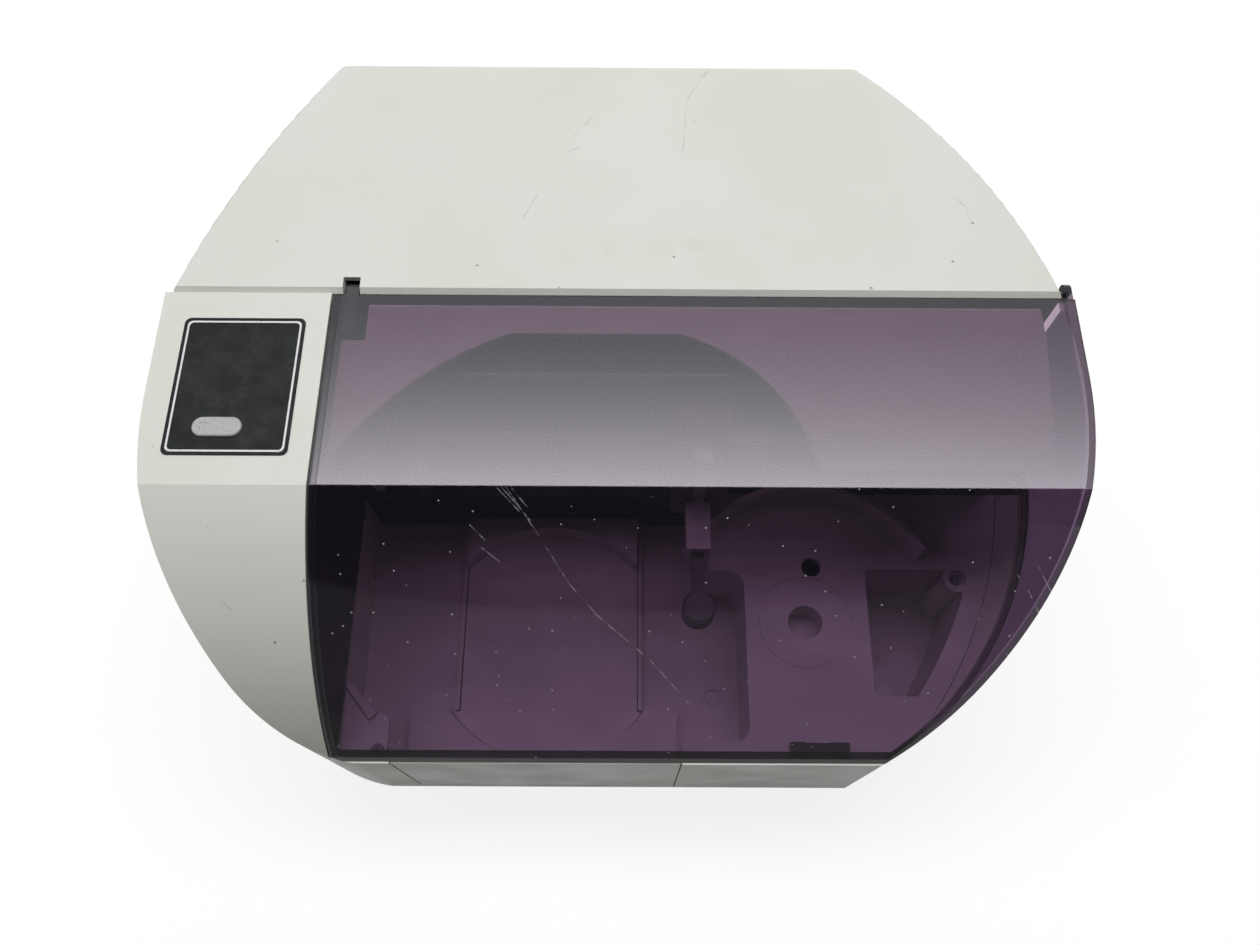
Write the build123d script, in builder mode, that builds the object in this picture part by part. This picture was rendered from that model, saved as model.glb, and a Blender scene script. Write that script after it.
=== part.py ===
from build123d import *
import math
import os

# Disc label printer: two disc bins side by side under a hinged smoked cover, a picker arm
# that carries discs between them, and an inkjet carriage over a sliding tray behind.
# Sizes are in millimetres. X runs to the right, Y to the back and Z up. The origin is the
# middle of the plane that the feet stand on.

# ---------------------------------------------------------------- driving dimensions

# Casing seen from above
depth = 340.0
front_half_width = 212.0
front_flat_half_width = 123.4
corner_from_front = 30.6
left_side_radius = 208.6
right_side_radius = 192.9
left_widest_from_front = 150.3
right_widest_from_front = 159.6
seam_from_front = 201.4
left_rear_step = 2.5
right_rear_step = 5.0
left_rear_radius = 472.0
right_rear_radius = 275.6
left_back_flat = 144.4
right_back_flat = 120.3
back_corner_radius = 5.0

# Casing seen from the side
height = 180.0
rim_z = 94.0
roof_radius = 176.0
crease_from_front = 104.7
crease_angle = 17.0
wall = 3.0
foot_height = 3.0
foot_radius = 8.0
foot_chamfer = 0.8
foot_from_side = 45.0
front_foot_from_front = 45.0
rear_foot_from_back = 50.0
pan_thickness = 1.5
post_radius = 5.0
edge_round = 1.6

# Cover and its hinge
cover_left = -133.6
cheek_gap = 1.0
cover_rim_gap = 0.5
seam_gap = 2.0
seam_bevel = 2.3
cover_thickness = 3.0
pivot_behind_seam = 5.6
pivot_below_top = 6.0
pin_radius = 1.5
arm_end_radius = 2.7
arm_width = 6.0
arm_reach = 18.0
arm_from_cover_side = 4.6
arm_slot_gap = 1.0
arm_back_gap = 0.5
lug_thickness = 2.4
lug_front_wall = 0.9
ear_radius = 4.5
ear_reach = 9.0

# Label plate and button on the cheek
plate_from_side = 12.1
plate_from_cover = 9.9
plate_length = 69.0
plate_thickness = 1.0
plate_proud = 0.4
plate_corner = 3.0
plate_front_from_front = 118.4
button_width = 22.0
button_depth = 9.5
button_proud = 1.6
button_travel = 1.2
button_from_plate_middle = 4.7
button_from_plate_front = 13.4
button_flange = 2.0
button_flange_height = 2.5
button_gap = 0.3
button_round = 0.9
lens_size = 3.2
lens_depth = 1.2
lens_from_button_middle = 5.6

# Bins
floor_z = 41.5
floor_thickness = 3.5
bin_back_from_front = 137.8
disc_radius = 60.0
disc_centre_from_front = 69.4
left_bin_x = -37.3
right_bin_x = 92.2
platform_below_rim = 4.0
platform_thickness = 4.0
platform_skirt = 2.5
platform_from_bin = 29.5
platform_front_strip = 8.0
cutout_behind_bin = 26.5
corner_round = 8.0
ledge_width = 15.6
ledge_radius = 225.0
ledge_height = 0.5
platform_gap = 0.3
well_from_bin = 31.6
well_front_from_front = 33.0
well_back_from_front = 97.0
well_from_ledge = 10.5
well_round = 3.0
ring_radius = 23.3
groove_width = 0.7
groove_depth = 0.5
hub_hole_radius = 8.5
hub_hole_depth = 15.0
sensor_radius = 4.9
sensor_right_of_bin = 4.8
sensor_behind_bin = 28.7
pocket_from_front = 92.4
pocket_from_ledge = 15.7
pocket_radius = 4.5
pocket_depth = 2.0
guide_gap = 6.0
guide_thickness = 2.0
guide_height = 16.0
guide_start = 30.0
guide_end = 134.0

# Drawer
drawer_thickness = 3.2
disc_recess_depth = 8.5
drawer_left = -82.7
drawer_right = 9.3
flange_left = -106.5
flange_right = 29.4
flange_from_front = 33.0
disc_recess_gap = 1.0
disc_recess_flare = 1.5
notch_half_width = 15.0
drawer_front_bottom_z = 9.0
drawer_front_below_rim = 0.6
drawer_gap = 0.5
drawer_rail_width = 2.1
drawer_rail_height = 5.5

# Mechanism frame
chassis_below_platform = 6.0
chassis_thickness = 1.5
chassis_bin_gap = 0.4
frame_thickness = 2.0
frame_cover_gap = 0.6
frame_from_side = 32.0
frame_front_from_front = 160.0
frame_back_from_front = 238.0
deck_below_top = 10.0
deck_thickness = 3.0

# Print tray
tray_above_chassis = 10.5
tray_thickness = 5.0
tray_half_width = 62.0
tray_recess_depth = 3.0
tray_recess_gap = 0.3
tray_hub_radius = 7.2
tray_nose = 58.5
tray_tail = 112.0
tray_travel = 130.0
tray_notch_half_width = 14.0
tray_notch_depth = 18.5
tray_rail_width = 4.6
tray_lip = 1.6
tray_lip_thickness = 1.7
roller_radius = 5.0
roller_gap = 0.3
tray_roller_from_front = 173.0
tray_roller_half_length = 14.0
tray_motor_radius = 10.0
tray_motor_length = 25.0

# Picker
picker_x = 37.8
picker_half_width = 13.0
picker_above_platform = 18.5
picker_below_deck = 2.0
picker_front_from_front = 120.0
picker_back_from_front = 151.0
picker_rod_from_front = 142.5
upper_rod_below_top = 18.0
lower_rod_above_bottom = 9.5
upper_rod_radius = 3.0
lower_rod_radius = 2.5
left_rod_reach = 69.0
right_rod_reach = 41.8
running_gap = 0.05
slide_gap = 0.15
bar_width = 8.0
bar_depth = 6.0
bar_from_front = 122.0
arm_strip_width = 11.4
arm_strip_height = 12.0
arm_strip_front = 96.0
arm_above_picker_bottom = 3.5
gripper_radius = 8.0
gripper_depth = 6.0
finger_radius = 6.6
finger_length = 5.2
finger_width = 5.0
lift_roller_below_top = 8.0
lift_roller_half_length = 6.0
lift_motor_radius = 8.0
lift_motor_length = 18.0
picker_motor_radius = 9.5
picker_motor_length = 24.0

# Belts
pulley_radius = 6.0
pulley_width = 5.0
belt_thickness = 1.2
belt_width = 4.0
belt_gap = 0.3
shaft_radius = 1.5
clamp_half_width = 7.0
clamp_height = 8.0
clamp_gap = 0.4
picker_belt_from_front = 155.0
picker_belt_below_top = 33.0
pulley_from_bracket = 10.0
print_belt_from_front = 230.5
print_belt_below_top = 15.0
pulley_from_frame = 12.0

# Print carriage
carriage_from_pulley = 38.0
carriage_half_width = 30.0
carriage_above_tray = 3.5
carriage_below_deck = 5.0
carriage_front_from_front = 164.0
carriage_back_from_front = 226.0
front_shaft_from_front = 170.0
front_shaft_below_top = 7.0
front_shaft_radius = 3.0
rear_shaft_from_front = 218.0
rear_shaft_below_top = 30.0
rear_shaft_radius = 4.0
cartridge_width = 47.0
cartridge_length = 31.0
cartridge_gap = 0.5
cartridge_from_front = 177.0
cartridge_proud = 1.5
nozzle_half_width = 9.0
print_motor_radius = 12.0
print_motor_length = 26.0
station_half_width = 28.0
station_length = 38.0
station_from_front = 174.0
pad_half_width = 12.0

# Electronics
board_z = 12.0
board_thickness = 1.6
board_from_back = 9.0
board_length = 91.0
board_left = -60.0
board_right = 80.0
board_post_from_edge = 6.0
board_post_radius = 3.0
button_board_below_top = 16.0
usb_left = 50.0
usb_width = 12.0
usb_height = 11.0
jack_left = 20.0
jack_width = 14.0
jack_height = 14.0
port_gap = 0.5
port_recess = 0.5
port_length = 21.0

# ---------------------------------------------------------------- shared geometry

os.makedirs("parts", exist_ok=True)


def back(distance):
    """Y of a point this far behind the front face."""
    return distance - depth / 2


def block(x, y, z, mode=Mode.ADD):
    """A box between a low and a high limit on each axis."""
    with Locations(((x[0] + x[1]) / 2, (y[0] + y[1]) / 2, (z[0] + z[1]) / 2)):
        Box(x[1] - x[0], y[1] - y[0], z[1] - z[0], mode=mode)


def x_rod(radius, x, y, z, mode=Mode.ADD):
    """A round bar along X, from x[0] to x[1]."""
    with Locations(Location(((x[0] + x[1]) / 2, y, z), (0, 90, 0))):
        Cylinder(radius, x[1] - x[0], mode=mode)


def y_rod(radius, x, y, z, mode=Mode.ADD):
    """A round bar along Y, from y[0] to y[1]."""
    with Locations(Location((x, (y[0] + y[1]) / 2, z), (90, 0, 0))):
        Cylinder(radius, y[1] - y[0], mode=mode)


def z_rod(radius, x, y, z, mode=Mode.ADD):
    """A round bar along Z, from z[0] to z[1]."""
    with Locations((x, y, (z[0] + z[1]) / 2)):
        Cylinder(radius, z[1] - z[0], mode=mode)


def area(x, y, mode=Mode.INTERSECT):
    """A rectangle between two limits on each axis, in the open sketch."""
    with Locations(((x[0] + x[1]) / 2, (y[0] + y[1]) / 2)):
        Rectangle(x[1] - x[0], y[1] - y[0], mode=mode)


def save(part, name):
    """Names a finished piece and writes it."""
    part.part.label = name
    export_step(part.part, "parts/" + name + ".step")


front_y = -depth / 2
back_y = depth / 2
seam_y = back(seam_from_front)
beyond = 2 * depth
RIGHT = 1
LEFT = -1
side_radius = {RIGHT: right_side_radius, LEFT: left_side_radius}
widest_y = {RIGHT: back(right_widest_from_front), LEFT: back(left_widest_from_front)}
rear_half_width = {
    RIGHT: front_half_width - right_rear_step,
    LEFT: front_half_width - left_rear_step,
}
rear_radius = {RIGHT: right_rear_radius, LEFT: left_rear_radius}
back_flat = {RIGHT: right_back_flat, LEFT: left_back_flat}


def side_x(side, y, inset=0.0):
    """Distance of a bulging side from the middle at y, drawn in by inset."""
    radius = side_radius[side] - inset
    middle = front_half_width - side_radius[side]
    return middle + math.sqrt(radius**2 - (y - widest_y[side]) ** 2)


def front_outline(seam_line):
    """Outline up to a line behind: a flat nose, two corner arcs and two bulging sides."""
    corner_y = back(corner_from_front)
    Line((-front_flat_half_width, front_y), (front_flat_half_width, front_y))
    for side in (RIGHT, LEFT):
        corner_x = side_x(side, corner_y)
        middle_y = (corner_y + widest_y[side]) / 2
        arc_middle_x = front_half_width - side_radius[side]
        TangentArc(
            (side * corner_x, corner_y),
            (side * front_flat_half_width, front_y),
            tangent=(side * (corner_y - widest_y[side]), arc_middle_x - corner_x),
        )
        ThreePointArc(
            (side * corner_x, corner_y),
            (side * side_x(side, middle_y), middle_y),
            (side * front_half_width, widest_y[side]),
        )
        Line((side * front_half_width, widest_y[side]), (side * front_half_width, seam_line))
    Line((-front_half_width, seam_line), (front_half_width, seam_line))


def rear_outline(seam_line):
    """Outline from a line in front: two long side arcs that close in to a flat back."""
    for side in (RIGHT, LEFT):
        start = Vector(side * rear_half_width[side], seam_y)
        end = Vector(side * back_flat[side], back_y)
        chord = end - start
        radius = rear_radius[side]
        bulge = radius - math.sqrt(radius**2 - (chord.length / 2) ** 2)
        outward = Vector(chord.Y, -chord.X).normalized() * side
        ThreePointArc(start, (start + end) / 2 + outward * bulge, end)
        if seam_line < seam_y:
            Line((side * rear_half_width[side], seam_line), start)
    Line((-back_flat[LEFT], back_y), (back_flat[RIGHT], back_y))
    Line((-rear_half_width[LEFT], seam_line), (rear_half_width[RIGHT], seam_line))


def front_plan(inset=0.0):
    """The front half's area, drawn in by inset but open to the seam."""
    with BuildSketch() as plan:
        with BuildLine():
            front_outline(seam_y + inset)
        make_face()
        if inset:
            offset(amount=-inset)
    return plan.sketch


def rear_plan(inset=0.0):
    """The rear half's area, drawn in by inset but open to the seam."""
    with BuildSketch() as plan:
        with BuildLine():
            rear_outline(seam_y - inset)
        make_face()
        fillet(plan.vertices().group_by(Axis.Y)[-1], back_corner_radius)
        if inset:
            offset(amount=-inset)
    return plan.sketch


def full_plan(inset=0.0):
    """The whole casing's area, drawn in by inset."""
    with BuildSketch() as plan:
        add(front_plan())
        add(rear_plan())
        if inset:
            offset(amount=-inset)
    return plan.sketch


roof_centre_y = back(crease_from_front) + roof_radius * math.sin(math.radians(crease_angle))
roof_centre_z = height - roof_radius * math.cos(math.radians(crease_angle))


def roof_y(z, inset=0.0):
    """Y of the curved roof at height z, drawn in by inset."""
    return roof_centre_y - math.sqrt((roof_radius - inset) ** 2 - (z - roof_centre_z) ** 2)


def roof_outline(inset, bottom):
    """Side view of what lies under the roof: its curved front, flat top and far back."""
    top = height - inset
    middle = (bottom + top) / 2
    ThreePointArc(
        (roof_y(bottom, inset), bottom), (roof_y(middle, inset), middle), (roof_y(top, inset), top)
    )
    Polyline(
        (roof_y(top, inset), top),
        (beyond, top),
        (beyond, bottom),
        (roof_y(bottom, inset), bottom),
    )


def front_block(inset, x, bottom, back_limit):
    """The solid under the front roof between two limits in X, drawn in by inset."""
    with BuildPart() as solid:
        with BuildSketch(Plane.XY.offset(bottom)):
            add(front_plan(inset))
            area(x, (front_y, back_limit))
        extrude(amount=height - bottom)
        with BuildSketch(Plane.YZ.offset(x[0])):
            with BuildLine():
                roof_outline(inset, bottom)
            make_face()
        extrude(amount=x[1] - x[0], mode=Mode.INTERSECT)
    return solid.part


# ---------------------------------------------------------------- casing

platform_z = rim_z - platform_below_rim
chassis_z = platform_z - chassis_below_platform
chassis_top_z = chassis_z + chassis_thickness
deck_z = height - deck_below_top
pan_top_z = foot_height + pan_thickness
floor_bottom_z = floor_z - floor_thickness
post_inset = wall + post_radius - 1
screw_radius = 1.5
screw_hole_radius = 1.6
screw_head_radius = 3.0
screw_head_height = 1.5
screw_length = 10.0
bin_post_places = (40.0, 120.0)
chassis_post_place = 175.0
rear_post_from_corner = 30.0


def bin_posts():
    """Places of the posts under the bin floor, on both sides."""
    return [
        (side * side_x(side, back(place), post_inset), back(place))
        for side in (RIGHT, LEFT)
        for place in bin_post_places
    ]


def chassis_posts():
    """Places of the posts under the chassis, on both sides."""
    y = back(chassis_post_place)
    beside = [(side * (front_half_width - post_inset), y) for side in (RIGHT, LEFT)]
    behind = [
        (side * (back_flat[side] - rear_post_from_corner), back_y - post_inset)
        for side in (RIGHT, LEFT)
    ]
    return beside + behind


ledge_half_width = front_half_width - ledge_width
ledge_centre = (ledge_half_width - ledge_radius, widest_y[RIGHT])
port_z = board_z + board_thickness
usb_x = (usb_left, usb_left + usb_width)
usb_top_z = port_z + usb_height
jack_x = (jack_left, jack_left + jack_width)
jack_top_z = port_z + jack_height
vent_count = 9
vent_pitch = 7.0
vent_width = 3.0
vent_height = 26.0
vent_middle = (-60.0, 50.0)

with BuildPart() as base_housing:
    with BuildSketch(Plane.XY.offset(foot_height)):
        add(full_plan())
    extrude(amount=rim_z - foot_height)
    with BuildSketch(Plane.XY.offset(foot_height)):
        add(full_plan(wall))
    extrude(amount=rim_z - foot_height, mode=Mode.SUBTRACT)
    # Ledge inside the bulging wall beside the right bin
    with BuildSketch(Plane.XY.offset(platform_z - platform_thickness)):
        add(full_plan(wall / 2))
        area((flange_right, beyond), (front_y, back(bin_back_from_front)))
        with Locations(ledge_centre):
            Circle(ledge_radius, mode=Mode.SUBTRACT)
    extrude(amount=platform_thickness + ledge_height)
    # Posts that carry the bin floor, the chassis and the bottom pan's screws
    for places, top_z in ((bin_posts(), floor_bottom_z), (chassis_posts(), chassis_z)):
        for x, y in places:
            z_rod(post_radius, x, y, (pan_top_z, top_z))
            z_rod(screw_hole_radius, x, y, (pan_top_z, pan_top_z + screw_length), Mode.SUBTRACT)
    # Drawer opening in the nose
    block(
        (flange_left - drawer_gap, flange_right + drawer_gap),
        (front_y - wall, front_y + 2 * wall),
        (drawer_front_bottom_z - drawer_gap, rim_z + wall),
        Mode.SUBTRACT,
    )
    # Socket openings and air slots in the back
    for x, top in ((usb_x, usb_top_z), (jack_x, jack_top_z)):
        block(
            (x[0] - port_gap, x[1] + port_gap),
            (back_y - 2 * wall, back_y + wall),
            (port_z - port_gap, top + port_gap),
            Mode.SUBTRACT,
        )
    with Locations((vent_middle[0], back_y, vent_middle[1])):
        with GridLocations(vent_pitch, 1, vent_count, 1):
            Box(vent_width, 3 * wall, vent_height, mode=Mode.SUBTRACT)
save(base_housing, "base_housing")

with BuildPart() as bottom_pan:
    with BuildSketch(Plane.XY.offset(foot_height)):
        add(full_plan(wall))
    extrude(amount=pan_thickness)
    for x, y in bin_posts() + chassis_posts():
        z_rod(screw_hole_radius, x, y, (foot_height, pan_top_z), Mode.SUBTRACT)
save(bottom_pan, "bottom_pan")

with BuildPart() as rubber_feet:
    for side in (RIGHT, LEFT):
        front_foot_y = back(front_foot_from_front)
        front_foot_x = side_x(side, front_foot_y) - foot_from_side
        z_rod(foot_radius, side * front_foot_x, front_foot_y, (0, foot_height))
        rear_foot_x = back_flat[side]
        z_rod(foot_radius, side * rear_foot_x, back_y - rear_foot_from_back, (0, foot_height))
    chamfer(rubber_feet.edges().group_by(Axis.Z)[0], foot_chamfer)
save(rubber_feet, "rubber_feet")

with BuildPart() as case_screws:
    for x, y in bin_posts() + chassis_posts():
        z_rod(screw_head_radius, x, y, (foot_height - screw_head_height, foot_height))
        z_rod(screw_radius, x, y, (foot_height, foot_height + screw_length))
save(case_screws, "case_screws")

cheek_right = cover_left - cheek_gap
plate_x = (plate_from_side - front_half_width, cheek_right - plate_from_cover)
plate_y = (back(plate_front_from_front), back(plate_front_from_front) + plate_length)
plate_bottom_z = height + plate_proud - plate_thickness
plate_centre = (sum(plate_x) / 2, sum(plate_y) / 2)
button_x = plate_centre[0] - button_from_plate_middle
button_y = plate_y[0] + button_from_plate_front
button_top_z = height + button_proud
button_bottom_z = height - wall - button_flange_height - button_gap
button_board_z = height - button_board_below_top
board_margin = 3.0
board_pin_radius = 2.5
button_board_x = (button_x - button_width, button_x + button_width - board_margin)
button_board_y = (button_y - button_depth - board_margin, button_y + button_depth + board_margin)
board_pins = (
    (button_board_x[0] + board_margin, button_board_y[0] + board_margin),
    (button_board_x[1] - board_margin, button_board_y[0] + board_margin),
    (button_board_x[1] - board_margin, button_board_y[1] - board_margin),
)
switch_half_width = 3.0
switch_top_z = button_bottom_z - button_travel - button_gap


def button_slot(grow):
    """The button's rounded outline, grown by a gap, in the open sketch."""
    with Locations((button_x, button_y)):
        SlotOverall(button_width + 2 * grow, button_depth + 2 * grow)


with BuildPart() as left_cheek:
    add(front_block(0.0, (-front_half_width, cheek_right), rim_z, seam_y))
    add(
        front_block(wall, (-front_half_width, cheek_right - wall), rim_z, seam_y - wall),
        mode=Mode.SUBTRACT,
    )
    with BuildSketch(Plane.XY.offset(plate_bottom_z)):
        with Locations(plate_centre):
            RectangleRounded(plate_x[1] - plate_x[0], plate_length, plate_corner)
    extrude(amount=wall, mode=Mode.SUBTRACT)
    with BuildSketch(Plane.XY.offset(height - 2 * wall)):
        button_slot(button_gap)
    extrude(amount=3 * wall, mode=Mode.SUBTRACT)
    for x, y in board_pins:
        z_rod(board_pin_radius, x, y, (button_board_z + board_thickness, height - wall / 2))
save(left_cheek, "left_cheek")

with BuildPart() as label_plate:
    with BuildSketch(Plane.XY.offset(plate_bottom_z)):
        with Locations(plate_centre):
            RectangleRounded(plate_x[1] - plate_x[0], plate_length, plate_corner)
        with BuildSketch(mode=Mode.SUBTRACT):
            button_slot(button_gap)
    extrude(amount=plate_thickness)
save(label_plate, "label_plate")

lens_x = button_x - lens_from_button_middle
with BuildPart() as power_button:
    with BuildSketch(Plane.XY.offset(button_bottom_z)):
        button_slot(0.0)
    extrude(amount=button_top_z - button_bottom_z)
    fillet(power_button.edges().group_by(Axis.Z)[-1], button_round)
    with BuildSketch(Plane.XY.offset(button_bottom_z)):
        button_slot(button_flange)
    extrude(amount=button_flange_height)
    block(
        (lens_x - lens_size / 2, lens_x + lens_size / 2),
        (button_y - lens_size / 2, button_y + lens_size / 2),
        (button_top_z - lens_depth, button_top_z + 1),
        Mode.SUBTRACT,
    )
save(power_button, "power_button")

with BuildPart() as button_lens:
    block(
        (lens_x - lens_size / 2, lens_x + lens_size / 2),
        (button_y - lens_size / 2, button_y + lens_size / 2),
        (button_top_z - lens_depth, button_top_z - 0.1),
    )
save(button_lens, "button_lens")

with BuildPart() as button_board:
    block(button_board_x, button_board_y, (button_board_z, button_board_z + board_thickness))
    block(
        (button_x - switch_half_width, button_x + switch_half_width),
        (button_y - switch_half_width, button_y + switch_half_width),
        (button_board_z + board_thickness, switch_top_z),
    )
save(button_board, "button_board")

pivot_y = seam_y + pivot_behind_seam
pivot_z = height - pivot_below_top
shell_front_y = seam_y + seam_gap / 2
cover_back_y = seam_y - seam_gap / 2
arm_x = (cover_left + arm_from_cover_side, cover_left + arm_from_cover_side + arm_width)
lug_inner = (arm_x[0] - arm_slot_gap, arm_x[1] + arm_slot_gap)
notch_back_y = pivot_y + arm_end_radius + arm_back_gap

with BuildPart() as top_shell:
    with BuildSketch(Plane.XY.offset(rim_z)):
        add(rear_plan())
        area((-beyond, beyond), (shell_front_y, back_y))
    extrude(amount=height - rim_z)
    top_face = top_shell.faces().sort_by(Axis.Z)[-1]
    fillet(top_face.edges().filter_by(lambda e: e.center().Y > shell_front_y + 1), edge_round)
    with BuildSketch(Plane.XY.offset(rim_z)):
        add(rear_plan(wall))
    extrude(amount=height - rim_z - wall, mode=Mode.SUBTRACT)
    # Bevel along the top front edge
    with BuildSketch(Plane.YZ.offset(-beyond)):
        with BuildLine():
            Polyline(
                (shell_front_y, height - seam_bevel),
                (shell_front_y, height),
                (shell_front_y + seam_bevel, height),
                close=True,
            )
        make_face()
    extrude(amount=2 * beyond, mode=Mode.SUBTRACT)
    # Lugs that hold the left pin, and the slot that the arm swings up through
    for x in ((lug_inner[0] - lug_thickness, lug_inner[0]), (lug_inner[1], lug_inner[1] + lug_thickness)):
        block(
            x,
            (pivot_y - arm_end_radius - lug_front_wall, notch_back_y + 1),
            (pivot_z - arm_end_radius - 1, height - wall / 2),
        )
    block(
        lug_inner,
        (shell_front_y - 1, notch_back_y),
        (pivot_z - arm_end_radius - 2, height + 1),
        Mode.SUBTRACT,
    )
    x_rod(pin_radius, (lug_inner[0] - lug_thickness - 1, beyond), pivot_y, pivot_z, Mode.SUBTRACT)
save(top_shell, "top_shell")

ear_bore = pin_radius + running_gap
with BuildPart() as smoked_cover:
    add(
        front_block(
            0.0, (cover_left, front_half_width), rim_z + cover_rim_gap, cover_back_y
        )
    )
    add(
        front_block(
            cover_thickness,
            (cover_left + cover_thickness, front_half_width),
            rim_z + cover_rim_gap,
            seam_y,
        ),
        mode=Mode.SUBTRACT,
    )
    # The right wall's rounded ear around its pivot
    with BuildSketch(Plane.YZ.offset(front_half_width - cover_thickness)):
        with Locations((pivot_y, pivot_z)):
            Circle(ear_radius)
        area(
            (cover_back_y - ear_reach, pivot_y),
            (pivot_z - ear_radius, pivot_z + ear_radius),
            Mode.ADD,
        )
        with Locations((pivot_y, pivot_z)):
            Circle(ear_bore, mode=Mode.SUBTRACT)
    extrude(amount=cover_thickness)
save(smoked_cover, "smoked_cover")

with BuildPart() as hinge_arm:
    with BuildSketch(Plane.YZ.offset(arm_x[0])):
        with Locations((pivot_y, pivot_z)):
            Circle(arm_end_radius)
        area(
            (cover_back_y - arm_reach, pivot_y),
            (pivot_z - arm_end_radius, pivot_z + arm_end_radius),
            Mode.ADD,
        )
        area(
            (cover_back_y - arm_reach, cover_back_y),
            (pivot_z, height - cover_thickness),
            Mode.ADD,
        )
        with Locations((pivot_y, pivot_z)):
            Circle(ear_bore, mode=Mode.SUBTRACT)
    extrude(amount=arm_width)
save(hinge_arm, "hinge_arm")

pin_start_x = rear_half_width[RIGHT] - 2 * wall
pin_end_gap = 0.2
with BuildPart() as hinge_pins:
    x_rod(pin_radius, (lug_inner[0] - lug_thickness, lug_inner[1] + lug_thickness), pivot_y, pivot_z)
    x_rod(pin_radius, (pin_start_x, front_half_width - pin_end_gap), pivot_y, pivot_z)
save(hinge_pins, "hinge_pins")

# ---------------------------------------------------------------- bins

bin_back_y = back(bin_back_from_front)
disc_y = back(disc_centre_from_front)
partition_x = (cheek_right - wall, cheek_right)
platform_left = right_bin_x - platform_from_bin
cutout_left = flange_right + 2 * drawer_gap
lift_clear_gap = 1.7
lift_clear_x = picker_x + arm_strip_width / 2 + lift_clear_gap
cutout_front_y = front_y + wall + platform_front_strip
cutout_back_y = disc_y + cutout_behind_bin
screw_pocket = (
    ledge_centre[0]
    + math.sqrt(ledge_radius**2 - (back(pocket_from_front) - ledge_centre[1]) ** 2)
    - pocket_from_ledge,
    back(pocket_from_front),
)
sensor_place = (right_bin_x + sensor_right_of_bin, disc_y + sensor_behind_bin)
guide_radius = disc_radius + guide_gap
floor_boss_radius = 3.6
floor_ring_radius = 4.2
floor_ring_depth = 0.8
floor_boss_places = (
    (cutout_left + 18.5, disc_y - 28.0),
    (cutout_left + 17.5, disc_y + 18.0),
    (right_bin_x + 43.0, disc_y - 9.0),
)

with BuildPart() as bin_floor:
    with BuildSketch(Plane.XY.offset(floor_bottom_z)):
        add(full_plan(wall))
        area((-beyond, beyond), (front_y, bin_back_y))
    extrude(amount=floor_thickness)
    with BuildSketch(Plane.XY.offset(floor_z)):
        add(full_plan(wall))
        area(partition_x, (front_y, bin_back_y))
    extrude(amount=rim_z - floor_z)
    # Shallow rings moulded round the floor's pins
    for x, y in floor_boss_places:
        z_rod(floor_ring_radius, x, y, (floor_z - floor_ring_depth, floor_z), Mode.SUBTRACT)
        z_rod(floor_boss_radius, x, y, (floor_z - floor_ring_depth, floor_z))
save(bin_floor, "bin_floor")


def well_area(grow):
    """The rounded well beside the right bin, between the bin and the ledge, grown by a wall."""
    with BuildSketch() as well:
        area(
            (right_bin_x + well_from_bin, beyond),
            (back(well_front_from_front), back(well_back_from_front)),
            Mode.ADD,
        )
        with Locations(ledge_centre):
            Circle(ledge_radius - well_from_ledge, mode=Mode.INTERSECT)
        fillet(well.vertices(), well_round)
        with Locations(screw_pocket):
            Circle(pocket_radius + platform_skirt, mode=Mode.SUBTRACT)
        if grow:
            offset(amount=grow)
    return well.sketch


screw_end_z = platform_z - pocket_depth - screw_length - 2 * drawer_gap


def platform_area(inset):
    """The platform's area inside the ledge, the front wall and the bin's back wall."""
    with BuildSketch() as whole:
        add(full_plan(wall + platform_gap + inset))
        with Locations(ledge_centre):
            Circle(ledge_radius - platform_gap - inset, mode=Mode.INTERSECT)
        area((-beyond, beyond), (front_y, bin_back_y - inset))
    return whole.sketch


with BuildPart() as disc_platform:
    with BuildSketch(Plane.XY.offset(floor_z)):
        add(platform_area(0.0))
        area((cutout_left, beyond), (front_y, bin_back_y))
        with BuildSketch(mode=Mode.SUBTRACT):
            area((-beyond, platform_left), (cutout_front_y, cutout_back_y), Mode.ADD)
            area((-beyond, lift_clear_x), (cutout_front_y, beyond), Mode.ADD)
    extrude(amount=platform_z - floor_z)
    at_bin_wall = disc_platform.edges().filter_by(Axis.Z).filter_by_position(
        Axis.X, platform_left - 1, platform_left + 1
    )
    fillet(at_bin_wall, corner_round)
    with BuildSketch(Plane.XY.offset(floor_z)):
        add(well_area(0.0))
    extrude(amount=platform_z, mode=Mode.SUBTRACT)
    # Hollow from below, leaving skirts round the wells and columns under the holes
    with BuildSketch(Plane.XY.offset(floor_z)):
        add(platform_area(platform_skirt))
        area((platform_left + platform_skirt + corner_round, beyond), (front_y, bin_back_y))
        add(well_area(platform_skirt), mode=Mode.SUBTRACT)
        for x, y, radius in (
            (right_bin_x, disc_y, hub_hole_radius + platform_skirt),
            (screw_pocket[0], screw_pocket[1], pocket_radius + platform_skirt),
        ):
            with Locations((x, y)):
                Circle(radius, mode=Mode.SUBTRACT)
    extrude(amount=platform_z - platform_thickness - floor_z, mode=Mode.SUBTRACT)
    z_rod(hub_hole_radius, right_bin_x, disc_y, (platform_z - hub_hole_depth, platform_z), Mode.SUBTRACT)
    z_rod(sensor_radius, *sensor_place, (platform_z - platform_thickness, platform_z), Mode.SUBTRACT)
    with BuildSketch(Plane.XY.offset(platform_z - groove_depth)):
        with Locations((right_bin_x, disc_y)):
            Circle(ring_radius)
            Circle(ring_radius - groove_width, mode=Mode.SUBTRACT)
    extrude(amount=groove_depth, mode=Mode.SUBTRACT)
    z_rod(pocket_radius, *screw_pocket, (platform_z - pocket_depth, platform_z), Mode.SUBTRACT)
    z_rod(screw_hole_radius, *screw_pocket, (screw_end_z, platform_z), Mode.SUBTRACT)
save(disc_platform, "disc_platform")

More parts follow.
